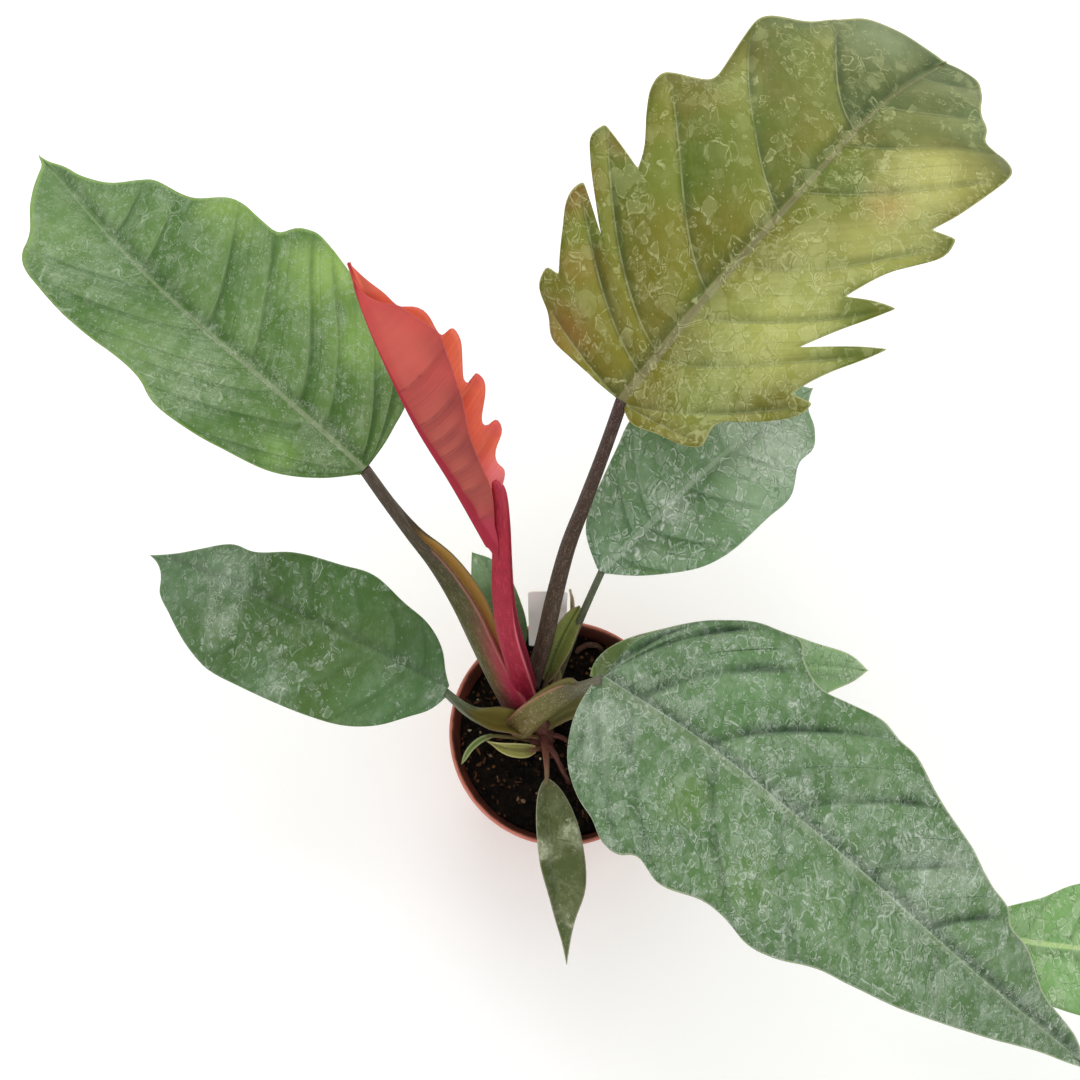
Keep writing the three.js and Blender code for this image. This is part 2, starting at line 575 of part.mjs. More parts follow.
// The stem, one dried-up sheath and the roots are plain rods: [x, y, z, radius].
const stemPath = [[-9, -3, 60, 5.5], [-9, -2, 80, 6.2], [-11, 1, 90, 6.4], [-14, 5, 97, 5.4]];
const drySheathPath = [[-4, 13, 84, 1.4], [-3, 17, 92, 1.8], [0, 31, 108, 1.7], [3.6, 42, 118, 1.4],
  [4, 49, 126, 0.5]];
const rootPaths = {
  front_root: [[-6, -6, 84, 1.4], [-3, -11, 85, 1.3], [0, -17, 83, 1.2], [3, -22, 78, 1.1], [5, -26, 70, 1]],
  side_root: [[-4, -2, 86, 1.2], [0, -3, 85, 1.1], [4, -5, 80, 1], [6, -8, 70, 0.9]],
  back_root: [[5, 37, 71, 1.3], [8, 39, 79, 1.4], [13, 41, 81.5, 1.3], [18, 40, 80, 1.2], [22, 37, 71, 1]],
};

function rod(path, facets) {
  const round = path.map(([x, y, z, radius]) => [x, y, z, radius, 0, 0]);
  const stalk = { path: round, face: [0, 1, 0.1], facets };
  return (clearance) => toSolid(stalkGeometry(stalk, clearance));
}

// The blank label: a thin stake with round upper corners and a pointed foot in the soil.
function labelSolid(clearance) {
  const { thickness, length, point, corner } = labelSize;
  const halfWidth = labelSize.width / 2 + clearance;
  const top = length + clearance;
  const outline = new THREE.Shape();
  outline.moveTo(0, -clearance * 2);
  outline.lineTo(halfWidth, point);
  outline.lineTo(halfWidth, top - corner);
  outline.absarc(halfWidth - corner, top - corner, corner, 0, Math.PI / 2);
  outline.absarc(corner - halfWidth, top - corner, corner, Math.PI / 2, Math.PI);
  outline.lineTo(-halfWidth, point);
  outline.closePath();
  const depth = thickness + clearance * 2;
  const stake = new THREE.ExtrudeGeometry(outline, { depth, bevelEnabled: false, curveSegments: 4 });
  stake.translate(0, 0, -depth / 2);
  stake.rotateX(Math.PI / 2);
  stake.rotateX(radians(-labelLean));
  stake.translate(labelFoot.x, labelFoot.y, labelFoot.z);
  return toSolid(stake);
}

// The room that a blade needs, reaching a little further back over its stalk.
function bladeRoom(blade) {
  const geometry = bladeGeometry(blade, gap);
  const back = spineCurve(blade.spine).getTangent(0).multiplyScalar(-seatReach);
  const moved = geometry.clone().translate(back.x, back.y, back.z);
  return toSolid(geometry).add(toSolid(moved));
}

function smallLeaf(name) {
  const stalk = rod(smallStalks[name], 8);
  return (clearance) => toSolid(bladeGeometry(smallBlades[name], clearance)).add(stalk(clearance));
}

const stem = rod(stemPath, 12);
const growers = [['main_stem', stem, colors.stem]];
Object.entries(stalks).forEach(([name, stalk]) => {
  growers.push([name, (clearance) => toSolid(stalkGeometry(stalk, clearance)), stalk.color]);
});
Object.entries(smallBlades).forEach(([name, blade]) => growers.push([name, smallLeaf(name), blade.color]));
growers.push(['dry_sheath', rod(drySheathPath, 8), colors.drySheath]);
Object.entries(rootPaths).forEach(([name, path]) => growers.push([name, rod(path, 8), colors.root]));

// Each grower stands clear of the blades and of those listed before it.
const bladeRooms = Object.values(blades).map(bladeRoom);
const placed = [];
growers.forEach(([name, make, color]) => {
  let solid = make(0);
  bladeRooms.forEach((room) => {
    solid = solid.subtract(room);
  });
  placed.forEach((earlier) => {
    solid = solid.subtract(earlier.make(gap));
  });
  placed.push({ name, make });
  add(name, fromSolid(largest(solid)), color);
});

add('plant_label', fromSolid(labelSolid(0)), colors.label, 0.4);
placed.push({ name: 'plant_label', make: labelSolid });

let soil = soilSolid();
placed.forEach(({ make }) => {
  soil = soil.subtract(make(gap));
});
add('soil', fromSolid(largest(soil)), colors.soil, 0.95);
add('pot', fromSolid(potSolid()), colors.terracottaPlastic, 0.5);

Object.entries(blades).forEach(([name, blade]) => add(name, bladeGeometry(blade), blade.color, 0.55));

export default plant;
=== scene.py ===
import math
import random
from bisect import bisect_right

import bmesh
import bpy
from mathutils import Matrix, Vector, noise


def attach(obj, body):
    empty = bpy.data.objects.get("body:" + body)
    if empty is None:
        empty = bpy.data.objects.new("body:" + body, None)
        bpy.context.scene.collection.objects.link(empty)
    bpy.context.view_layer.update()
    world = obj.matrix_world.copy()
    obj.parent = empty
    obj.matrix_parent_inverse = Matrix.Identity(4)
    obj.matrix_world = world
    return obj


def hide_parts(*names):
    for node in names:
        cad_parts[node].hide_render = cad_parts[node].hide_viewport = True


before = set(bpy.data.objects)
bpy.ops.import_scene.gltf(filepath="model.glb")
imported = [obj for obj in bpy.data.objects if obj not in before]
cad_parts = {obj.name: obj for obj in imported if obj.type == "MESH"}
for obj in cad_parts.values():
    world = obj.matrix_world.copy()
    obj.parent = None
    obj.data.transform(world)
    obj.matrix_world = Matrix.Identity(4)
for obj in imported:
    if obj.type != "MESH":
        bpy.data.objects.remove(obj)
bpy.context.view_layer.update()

mm = 0.001  # the blade and stalk sizes below are in millimetres

# The camera looks steeply down on the plant, as the photograph does.
cameraView = {"place": (-0.00993, -0.09975, 0.67251), "tilt": 18.0, "lens": 43.33, "sensor": 36.0}


def addCamera(view):
    data = bpy.data.cameras.new("photo_camera")
    data.lens = view["lens"]
    data.sensor_width = view["sensor"]
    camera = bpy.data.objects.new("photo_camera", data)
    camera.location = view["place"]
    camera.rotation_euler = (math.radians(view["tilt"]), 0, 0)
    bpy.context.collection.objects.link(camera)
    bpy.context.scene.camera = camera


addCamera(cameraView)
print("camera placed")


# Small helpers for numbers and curves

def clamp(value, low=0.0, high=1.0):
    return max(low, min(high, value))


def lerp(a, b, part):
    return a + (b - a) * part


def smooth(low, high, value):
    part = clamp((value - low) / (high - low))
    return part * part * (3 - 2 * part)


def splinePoint(points, position, closed=False):
    # a curve through all points, at a position counted in points
    count = len(points)
    last = count if closed else count - 1
    k = min(int(position), last - 1)
    part = position - k

    def at(index):
        if closed:
            return points[index % count]
        if index < 0:
            return points[0] * 2 - points[1]
        if index >= count:
            return points[-1] * 2 - points[-2]
        return points[index]

    p0, p1, p2, p3 = at(k - 1), at(k), at(k + 1), at(k + 2)
    in1, in2 = (p2 - p0) * 0.5, (p3 - p1) * 0.5
    s2, s3 = part * part, part ** 3
    return (p1 * (2 * s3 - 3 * s2 + 1) + in1 * (s3 - 2 * s2 + part)
            + p2 * (3 * s2 - 2 * s3) + in2 * (s3 - s2))


def sample(values, position):
    # a list's value between two of its entries
    k = min(int(position), len(values) - 2)
    return lerp(values[k], values[k + 1], position - k)


def readSpine(points, steps=200):
    corners = [Vector(p) for p in points]
    places = [splinePoint(corners, k / steps * (len(corners) - 1)) for k in range(steps + 1)]
    reach = [0.0]
    for before, after in zip(places, places[1:]):
        reach.append(reach[-1] + (after - before).length)
    tangents = []
    for k in range(steps + 1):
        ahead, behind = places[min(k + 1, steps)], places[max(k - 1, 0)]
        tangents.append((ahead - behind).normalized())
    return {"places": places, "reach": reach, "tangents": tangents, "length": reach[-1]}


def spineFrame(spine, face, along):
    # the place on the midrib, the way its face looks and the way across; it runs on past both ends
    distance = clamp(along, 0, spine["length"])
    k = min(bisect_right(spine["reach"], distance) - 1, len(spine["reach"]) - 2)
    span = spine["reach"][k + 1] - spine["reach"][k]
    part = (distance - spine["reach"][k]) / span
    tangent = spine["tangents"][k].lerp(spine["tangents"][k + 1], part).normalized()
    place = spine["places"][k].lerp(spine["places"][k + 1], part) + tangent * (along - distance)
    normal = (face - tangent * face.dot(tangent)).normalized()
    return place, normal, tangent.cross(normal)


# Small helpers for meshes

def gridPoints(bm, columns, rows):
    # lays out a flat grid and gives each of its points, with its column and row, to be moved
    bmesh.ops.create_grid(bm, x_segments=columns, y_segments=rows, size=1)
    for vert in bm.verts:
        yield vert, round((vert.co.x + 1) / 2 * columns), round((vert.co.y + 1) / 2 * rows)


def openEdges(bm):
    return [edge for edge in bm.edges if edge.is_boundary]


def finishPiece(name, bm, materials, node=None, slot=None, smoothShade=True):
    mesh = bpy.data.meshes.new(name)
    bm.to_mesh(mesh)
    bm.free()
    if smoothShade:
        mesh.polygons.foreach_set("use_smooth", [True] * len(mesh.polygons))
    piece = bpy.data.objects.new(name, mesh)
    bpy.context.collection.objects.link(piece)
    for material in materials:
        mesh.materials.append(material)
    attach(piece, "root")
    if node:
        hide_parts(node)
    return piece


# Small helpers for materials

def paint(code):
    channels = [int(code[k:k + 2], 16) / 255 for k in (1, 3, 5)]
    return tuple(c / 12.92 if c < 0.04045 else ((c + 0.055) / 1.055) ** 2.4 for c in channels) + (1.0,)


def newMaterial(name, roughness=0.5, gloss=0.5):
    material = bpy.data.materials.new(name)
    material.use_nodes = True
    tree = material.node_tree
    shader = tree.nodes["Principled BSDF"]
    shader.inputs["Roughness"].default_value = roughness
    shader.inputs["Specular IOR Level"].default_value = gloss
    return material, tree, shader


def feed(tree, socket, value):
    if isinstance(value, bpy.types.NodeSocket):
        tree.links.new(value, socket)
    else:
        socket.default_value = value


def addNode(tree, kind, inputs, **settings):
    made = tree.nodes.new(kind)
    for key, value in settings.items():
        setattr(made, key, value)
    for key, value in inputs.items():
        feed(tree, made.inputs[key], value)
    return made


def calc(tree, operation, a, b=0.0):
    return addNode(tree, "ShaderNodeMath", {0: a, 1: b}, operation=operation).outputs[0]


def times(tree, a, *others):
    for b in others:
        a = calc(tree, "MULTIPLY", a, b)
    return a


def fade(tree, value, low, high, start=0.0, end=1.0):
    return addNode(tree, "ShaderNodeMapRange", {0: value, 1: low, 2: high, 3: start, 4: end},
                   interpolation_type="SMOOTHSTEP").outputs[0]


def blend(tree, share, a, b):
    return addNode(tree, "ShaderNodeMix", {0: share, 6: a, 7: b}, data_type="RGBA").outputs[2]


def measure(tree, name):
    return addNode(tree, "ShaderNodeAttribute", {}, attribute_name=name).outputs["Fac"]


def objectPlace(tree):
    return tree.nodes.new("ShaderNodeTexCoord").outputs["Object"]


def mottle(tree, place, scale, detail=3.0, roughness=0.55):
    return addNode(tree, "ShaderNodeTexNoise",
                   {"Vector": place, "Scale": scale, "Detail": detail, "Roughness": roughness})


def cells(tree, place, scale, feature="F1"):
    return addNode(tree, "ShaderNodeTexVoronoi", {"Vector": place, "Scale": scale}, feature=feature)


def addBump(tree, shader, height, depth):
    bump = addNode(tree, "ShaderNodeBump", {"Height": height, "Distance": depth, "Strength": 1.0})
    tree.links.new(bump.outputs["Normal"], shader.inputs["Normal"])


def wander(tree, place, scale, reach):
    # the same place, pushed about a little, so that cell borders turn uneven
    push = addNode(tree, "ShaderNodeVectorMath", {0: mottle(tree, place, scale, 2.0).outputs["Color"],
                                                  1: (0.5, 0.5, 0.5)}, operation="SUBTRACT").outputs[0]
    wide = addNode(tree, "ShaderNodeVectorMath", {0: push, "Scale": reach}, operation="SCALE").outputs[0]
    return addNode(tree, "ShaderNodeVectorMath", {0: place, 1: wide}, operation="ADD").outputs[0]


# Blades. Each half is laid out flat, as distance along the midrib and out from it, in mm.
# spine: the midrib's path. face: the way the blade looks. fold: how steeply the left and right half
# rise from the midrib, and curl: how much they bend further out, in degrees. lean: how far the side
# veins run forward, left and right, each at stalk and tip. ripple: height and length of the margin's
# waves. rib: how far the midrib stands out below at stalk and tip.
# veins: the edge points, counted along each half, that a side vein runs to.
# patches: along, out, size, colour and strength of a soft patch; out is below 0 on the left half.
# residue: dried hard water. drops: their spacing, how many of them show and how filled they are.
# gather: along, out and size of the places where there is more of it.
clean = {"strength": 0.4, "drops": [], "specks": 0.4, "haze": 0.1, "crust": 0.0}
bladePieces = {
    "upper_right_blade": {
        "slot": "olive_leaf",
        "spine": [(20, 98, 230), (49, 130, 246), (82, 166, 255), (121, 214, 247), (155, 248, 230)],
        "face": (-0.13, 0, 1), "fold": (12, 12), "curl": (-12, -12), "lean": ((20, 80), (44, 44)),
        "ripple": (1.5, 48), "rib": (3.2, 1.2),
        "left": [(0, 3), (0, 11), (1, 23), (2, 36), (8, 42), (15, 53), (22, 55), (22, 49), (36, 60),
                 (49, 67), (54, 65), (49, 56), (43, 46), (51, 56), (63, 70), (70, 76), (78, 76), (74, 64),
                 (70, 52), (78, 56), (93, 66), (105, 71), (115, 71), (120, 62), (124, 56), (137, 57),
                 (150, 59), (160, 60), (173, 46), (184, 41), (195, 34), (204, 20)],
        "right": [(-2, 4), (-4, 9), (-1, 19), (2, 31), (6, 37), (15, 35), (26, 48), (37, 58), (41, 58),
                  (39, 50), (52, 55), (66, 62), (72, 65), (67, 57), (54, 41), (68, 48), (83, 58),
                  (81, 50), (77, 41), (90, 47), (105, 59), (114, 58), (112, 49), (125, 54), (145, 59),
                  (159, 57), (164, 50), (166, 42), (173, 39), (184, 30), (196, 24), (206, 16)],
        "veins": ((4.4, 9.7, 16.2, 22.2, 26.4, 29), (4, 7.8, 11.2, 16, 20.4, 24.1, 26.2, 28.6, 30.4)),
        "look": {"body": "#66631a", "second": "#566518", "stalkEnd": "#6a6218", "tip": "#55643a",
                 "margin": "#a9ab6c", "rib": "#74704f", "vein": "#a3aa78", "under": "#8a8c58",
                 "ribHalf": (1.8, 0.35), "veinLine": 0.5, "fold": (0.5, 4.5, 1), "foldColor": "#283a18",
                 "lane": (0.28, "#96983c"), "ribShade": 0.5, "ribSide": -1.0, "ribMask": 0.8,
                 "cracks": 0.4, "sides": (1.0, 0.65), "chalk": "#d2d69e"},
        "patches": [(56, 30, 36, "#acaf60", 0.85), (95, 35, 30, "#a8a95c", 0.7),
                    (134, 36, 28, "#b2b062", 0.85), (112, 30, 13, "#ac8a50", 0.6),
                    (170, 34, 20, "#6f8050", 0.6), (49, -64, 16, "#80561e", 0.7),
                    (6, -33, 19, "#8c6030", 0.65), (30, -44, 14, "#7c5824", 0.65),
                    (76, -62, 12, "#7c5e26", 0.5), (20, 25, 22, "#76883a", 0.6),
                    (100, -30, 28, "#4c5f18", 0.6), (152, -6, 25, "#43552a", 0.75),
                    # the pale grey-green patch at along 190 on the left half is a painted sheen
                    (190, -26, 26, "#87946c", 0.75), (128, -46, 16, "#8c9a60", 0.4),
                    (156, 18, 20, "#66703c", 0.55)],
        "residue": {"strength": 0.38, "drops": [(8.0, 0.24, 0.32), (4.8, 0.34, 0.42), (2.6, 0.24, 0.3)],
                    "specks": 0.4, "haze": 0.24, "crust": 0.05, "jagged": 0.85,
                    "gather": [(26, 18, 30), (70, 28, 34), (125, 32, 30)]},
    },
    "upper_left_blade": {
        "slot": "green_leaf",
        "spine": [(-76, 77, 215), (-106, 102, 225), (-140, 131, 228), (-178, 171, 218), (-222, 225, 199.5)],
        "face": (0, -0.12, 1), "fold": (28, 2), "curl": (-22, -12), "lean": ((105, 140), (50, 50)),
        "ripple": (2, 55), "rib": (2.8, 1),
        "left": [(0, 3), (9, 15), (22, 26), (35, 31), (52, 35), (71, 36), (78, 33), (93, 33), (107, 35),
                 (120, 36), (135, 36), (151, 35), (157, 32), (165, 25), (180, 18), (191, 12), (200, 6),
                 (206, 2)],
        "right": [(0, 4), (1, 13), (3, 21), (5, 29), (12, 36), (25, 42), (41, 49), (60, 55), (74, 58),
                  (83, 58), (89, 54), (91, 48), (103, 47), (118, 47), (125, 45), (137, 35), (151, 31),
                  (160, 28), (171, 16), (186, 8), (198, 5), (205, 2)],
        "veins": ((1.6, 2.9, 4.2, 6, 7.5, 9, 10.6, 12.4), (3, 4.6, 6, 7.6, 9, 11.4, 13, 15.6, 17.2)),
        "relief": {"pleat": 0.065, "most": 0.95, "ridge": 0.5},
        "look": {"body": "#4e7030", "second": "#43672a", "stalkEnd": "#426426", "tip": "#5f7e48",
                 "margin": "#86a854", "rib": "#7d8a66", "vein": "#8ba071", "under": "#86985e",
                 "ribHalf": (1.0, 0.3), "veinLine": 0.3, "fold": (0.4, 4.5, -1), "sides": (0.55, 1.0),
                 "foldColor": "#20371a", "lane": (0.3, "#7d9b5c"), "ribShade": 0.4, "ribMask": 0.75,
                 "marginWidth": 1.6, "cracks": 0.5, "chalk": "#b9c8ac"},
        "patches": [(100, 12, 40, "#46652e", 0.6), (26, -20, 12, "#6f9838", 0.7),
                    (64, 50, 26, "#8fb052", 0.85), (36, 40, 20, "#86aa4c", 0.6),
                    (110, 44, 20, "#88a850", 0.5), (30, 34, 18, "#76a046", 0.6),
                    (90, -26, 26, "#7d9a60", 0.55), (124, 42, 16, "#84a446", 0.6),
                    (160, -20, 24, "#7c9a5e", 0.5)],
        "residue": {"strength": 0.42, "drops": [(7.0, 0.1, 0.15), (1.7, 0.36, 0.3)], "specks": 0.6,
                    "haze": 0.5, "crust": 0.1, "combed": 0.35,
                    "gather": [(70, -14, 30), (20, -4, 16), (130, -16, 30)]},
    },
    "red_blade": {
        "slot": "coral_red_leaf",
        "spine": [(-29, 54, 200), (-41, 68, 227), (-54, 83, 251), (-66, 103, 275), (-72.5, 118, 296)],
        "face": (1, 0.1, 0.25), "fold": (62, 62), "curl": (45, 45), "lean": ((45, 45), (45, 45)),
        "ripple": (0, 40), "rib": (3.2, 1),
        "left": [(-11, 0.5), (-4, 2.7), (4, 5.1), (9, 6.6), (17.5, 10), (31, 14.6), (38, 15.7),
                 (49, 17.6), (59.5, 20.5), (69, 23), (86, 24.8), (92, 25.6), (96, 24.6), (103, 19),
                 (107.5, 15), (109.3, 7.8), (112, 2.6), (116, 0.6)],
        "right": [(-11, 0.5), (-1, 1.5), (8, 3.1), (14, 8), (20, 14.5), (24, 17.3), (27, 17.9),
                  (28.5, 17), (31.4, 16.5), (35.3, 18.2), (40, 23.5), (43.6, 25.4), (47.5, 24.5),
                  (45.4, 21), (45.6, 19), (47.8, 19.2), (51, 21), (56, 24.5), (60, 26.6), (65, 27.8),
                  (69.2, 26), (66.7, 24.6), (65, 22.4), (66.4, 21), (71.4, 22.5), (79, 25.3), (84, 26.6),
                  (88.6, 25.6), (87.4, 23), (86.2, 20.7), (89.3, 19.8), (93, 19.8), (98, 18.7),
                  (101.8, 15.6), (102.4, 11.5), (109.5, 8.2), (114.6, 4.8), (119.4, 2.1)],
        "veins": ((4, 5.5, 6.6, 7.5, 8.3, 9.2, 10.4), (5, 11.5, 19.5, 27.5)),
        "look": {"body": "#ec6e54", "second": "#f4825f", "stalkEnd": "#c83858", "tip": "#e87056",
                 "margin": "#d4605a", "marginStart": 0.4, "rib": "#9c2438", "ribHalf": (3.0, 0.2),
                 "vein": "#f49a7c", "underVein": "#7c2a2a", "under": "#a84a40", "underSecond": "#9c4640",
                 "underTip": "#c84e4c", "veinLine": 0.45, "fold": (0.22, 4.0, -1), "foldColor": "#6a2428",
                 "lane": (0.18, "#dc7c66"), "ribShade": 0.3, "marginWidth": 0.6},
        "patches": [(26, 14, 15, "#fa8890", 0.85), (8, 4, 9, "#c84464", 0.7), (44, 23, 7, "#e05a64", 0.6),
                    (67, 26, 7, "#dc5458", 0.6)],
        # the light patch at along 94 is a painted highlight; the dark ones at along 48, 68 and 88 are
        # painted shade along the fold
        "lowerPatches": [(94, -14, 26, "#cc564c", 0.7), (48, -17, 10, "#7a3232", 0.4),
                         (68, -20, 10, "#7e3632", 0.45), (88, -22, 10, "#8a3c38", 0.45),
                         (4, -3, 20, "#b03048", 0.9)],
        "residue": {"strength": 0.0, "drops": [], "specks": 0.0, "haze": 0.0, "crust": 0.0},
    },
    "left_blade": {
        "slot": "dark_green_leaf",
        "spine": [(-50, 10, 125), (-78, 23, 136), (-111, 38, 140), (-149, 56, 134), (-183, 72, 122)],
        "face": (0, -0.1, 1), "fold": (6, 6), "curl": (-20, -20), "lean": ((48, 48), (48, 48)),
        "ripple": (1.5, 60), "rib": (2.4, 0.9),
        "left": [(-1, 2), (2, 9), (10, 17), (20, 26), (32, 32), (49, 35), (80, 36), (98, 35), (109, 31),
                 (127, 20), (137, 13), (139, 8), (145, 2)],
        "right": [(0, 3), (4, 7), (10, 15), (21, 22), (33, 25), (50, 30), (65, 28), (85, 25), (103, 18),
                  (112, 18), (126, 11), (138, 5)],
        "veins": ((2, 3.4, 4.6, 5.5, 6.3, 7.4, 9), (2, 3.4, 4.6, 5.7, 6.8, 8)),
        "look": {"body": "#4d6a32", "second": "#44622e", "stalkEnd": "#486a3e", "tip": "#5d7b56",
                 "margin": "#6a8a58", "rib": "#5a7450", "vein": "#5f7c55", "under": "#76885e",
                 "ribHalf": (0.9, 0.3), "veinLine": 0.08, "fold": (0.14, 5.0, -1), "foldColor": "#263a20",
                 "lane": (0.15, "#6a8a5e"), "ribShade": 0.4, "ribMask": 0.45, "marginWidth": 0.8,
                 "chalk": "#b6c4b0"},
        "relief": {"pleat": 0.05, "most": 0.7, "ridge": 0.4},
        "patches": [(24, -16, 26, "#567a4a", 0.6), (60, 22, 30, "#4a7038", 0.6),
                    (22, 8, 14, "#38562f", 0.5), (116, 6, 30, "#5d7d56", 0.6),
                    (70, -28, 20, "#5a7d55", 0.5)],
        "residue": {"strength": 0.55, "drops": [(7.0, 0.1, 0.1), (3.4, 0.16, 0.25), (1.9, 0.16, 0.3)],
                    "specks": 0.25, "haze": 0.3, "crust": 0.35,
                    "gather": [(112, 8, 32), (66, -30, 16), (100, -14, 18), (3, -2, 9)]},
    },
    "lower_right_blade": {
        "slot": "grey_green_leaf",
        "spine": [(15, 10, 150), (56, -22, 167), (107, -64, 164), (160, -105, 138), (218, -142, 92)],
        "face": (0, -0.12, 1), "fold": (8, 8), "curl": (-11, -11), "lean": ((52, 98), (62, 62)),
        "ripple": (2.5, 46), "rib": (3.2, 1.2),
        "left": [(0, 3), (1, 11), (4, 21), (15, 34), (29, 46), (41, 53), (51, 55), (59, 56), (62, 51),
                 (73, 46), (84, 48), (98, 51), (107, 49), (117, 49), (134, 42), (147, 38), (157, 36),
                 (172, 31), (187, 28), (191, 24), (204, 22), (227, 12), (256, 7)],
        "right": [(-2, 4), (-1, 13), (2, 22), (8, 33), (15, 40), (23, 45), (33, 48), (43, 53), (51, 53),
                  (56, 49), (70, 52), (88, 46), (98, 46), (110, 48), (121, 45), (135, 38), (148, 35),
                  (168, 30), (190, 23), (210, 17), (241, 8), (265, 3)],
        "veins": ((3.6, 5.6, 8.5, 12, 14.3, 16.6, 18.6), (5, 8.2, 10, 12.5, 14.6, 16.4, 18)),
        "relief": {"ruffle": 1.3},
        "look": {"body": "#567746", "second": "#4a6a3d", "stalkEnd": "#54734a", "tip": "#567349",
                 "margin": "#b0bd96", "rib": "#6f845e", "vein": "#7f9a76", "under": "#7f9068",
                 "ribHalf": (1.9, 0.5), "veinLine": 0.3, "fold": (0.95, 6.0, -1), "foldColor": "#1c341c",
                 "lane": (0.25, "#7d9c70"), "ribShade": 0.7, "ribSide": -1.0, "ribMask": 0.6,
                 "ribLine": 0.3, "sides": (1.0, 0.4), "marginWidth": 0.7, "chalk": "#ccd8c8"},
        "patches": [(60, 20, 16, "#5f8038", 0.6), (95, 30, 20, "#5e7f3a", 0.5),
                    (50, -30, 30, "#618a54", 0.5), (130, 20, 26, "#64884e", 0.4),
                    (170, -14, 26, "#5c8048", 0.5)],
        "residue": {"strength": 0.47, "drops": [(8.0, 0.2, 0.14), (4.4, 0.42, 0.25), (2.2, 0.6, 0.28)],
                    "specks": 0.35, "haze": 0.58, "crust": 0.3, "jagged": 0.8,
                    "gather": [(14, 16, 24), (150, -20, 30)]},
    },
    "rear_right_blade": {
        "slot": "light_green_leaf",
        "spine": [(15, 53, 160), (34, 70, 168), (60, 95, 171), (88, 121, 163), (110, 140, 150)],
        "face": (0, -0.1, 1), "fold": (8, 8), "curl": (-16, -16), "lean": ((48, 48), (48, 48)),
        "ripple": (1.5, 50), "rib": (2.2, 0.9),
        "left": [(0, 2), (3, 9), (7, 16), (13, 21), (25, 26), (41, 32), (55, 37), (74, 34), (91, 28),
                 (115, 13)],
        "right": [(1, 2), (8, 10), (17, 18), (31, 28), (40, 31), (49, 32), (66, 32), (79, 32), (88, 27),
                  (95, 23), (104, 23), (112, 19), (117, 14), (121, 7)],
        "veins": ((3, 5, 6, 7, 8), (2.4, 4.8, 6.4, 8.4, 11)),
        "look": {"body": "#66895a", "second": "#597c4b", "stalkEnd": "#64865c", "tip": "#84a47a",
                 "margin": "#8aa582", "rib": "#a3b59e", "vein": "#9ab496", "under": "#84966f",
                 "ribHalf": (1.4, 0.5), "veinLine": 0.4, "fold": (0.25, 4.0, -1), "foldColor": "#2c4a2c",
                 "lane": (0.25, "#8aa882"), "ribMask": 0.45, "chalk": "#dbe6d8"},
        "patches": [(85, 15, 36, "#a6c39d", 0.8), (62, 24, 18, "#a2bf98", 0.6),
                    (16, 14, 16, "#587a40", 0.5)],
        "residue": {"strength": 0.6, "drops": [(7.0, 0.45, 0.16), (3.8, 0.6, 0.22)], "specks": 0.35,
                    "haze": 0.32, "crust": 0.4, "jagged": 0.85, "gather": [(38, 2, 14), (95, 10, 30)]},
    },
    "far_right_blade": {
        "slot": "light_green_leaf",
        "spine": [(172, -87, 88), (203, -92, 92), (244, -97, 86), (300, -109, 60)], "face": (0, -0.1, 1),
        "fold": (8, 8), "curl": (-14, -14), "lean": ((45, 45), (45, 45)), "ripple": (1.5, 50),
        "rib": (2.2, 0.9),
        "left": [(0, 2), (7, 8), (19, 14), (31, 19), (48, 27), (70, 29), (92, 25), (112, 16), (126, 7)],
        "right": [(0, 2), (6, 9), (18, 17), (34, 24), (54, 28), (78, 28), (98, 22), (116, 13), (127, 6)],
        "veins": ((2, 3.4, 4.6, 5.6, 6.6), (2, 3.2, 4.4, 5.4, 6.6)),
        "look": {"body": "#7eaa68", "second": "#729e5c", "stalkEnd": "#6a9a50", "tip": "#6c9a50",
                 "margin": "#84ac5c", "rib": "#b0cc84", "vein": "#8fb46c", "under": "#8aa06c",
                 "ribHalf": (1.2, 0.4), "veinLine": 0.4, "lane": (0.3, "#8ab468"), "chalk": "#cfe0c0"},
        "residue": {"strength": 0.55, "drops": [(6.0, 0.6, 0.3), (3.0, 0.7, 0.35)], "specks": 0.3,
                    "haze": 0.5, "crust": 0.3},
    },
    "low_right_blade": {
        "slot": "green_leaf",
        "spine": [(16, 18, 112), (56, 21, 119), (96, 22, 118), (135, 23, 108)], "face": (0, -0.1, 1),
        "fold": (8, 8), "curl": (-18, -18), "lean": ((40, 40), (40, 40)), "ripple": (1, 40),
        "rib": (1.8, 0.8),
        "left": [(-4, 2), (-2, 7), (5, 13), (15, 16.5), (28, 18.5), (54, 21), (75, 17), (96, 11), (114, 6)],
        "right": [(1, 2), (7, 9), (21, 17), (42, 24), (68, 23), (91, 16), (102, 10), (114, 5)],
        "veins": ((3, 4, 5, 6), (2, 3, 4, 5)),
        "look": {"body": "#82a86e", "second": "#789d65", "stalkEnd": "#6a7c40", "tip": "#86ab75",
                 "margin": "#b0c088", "rib": "#8fae74", "vein": "#83a46c", "under": "#86986a",
                 "ribHalf": (0.9, 0.4), "lane": (0.25, "#8aaa70"), "chalk": "#c8d8bc"},
        "residue": {"strength": 0.52, "drops": [(6.0, 0.5, 0.3), (3.0, 0.6, 0.35)], "specks": 0.3,
                    "haze": 0.55, "crust": 0.35},
    },
}
bladeMake = {"thickness": 0.6, "bendWidth": 60, "veinPower": 1.4, "veinReach": 60.0, "rowGap": 1.9,
             "columns": 20, "columnPower": 1.5, "edgeSmoothing": 2, "rippleShift": 0.6 * math.pi}
plainRelief = {"pleat": 0.09, "most": 1.3, "ridge": 0.5, "ruffle": 0.5}  # for a blade without its own


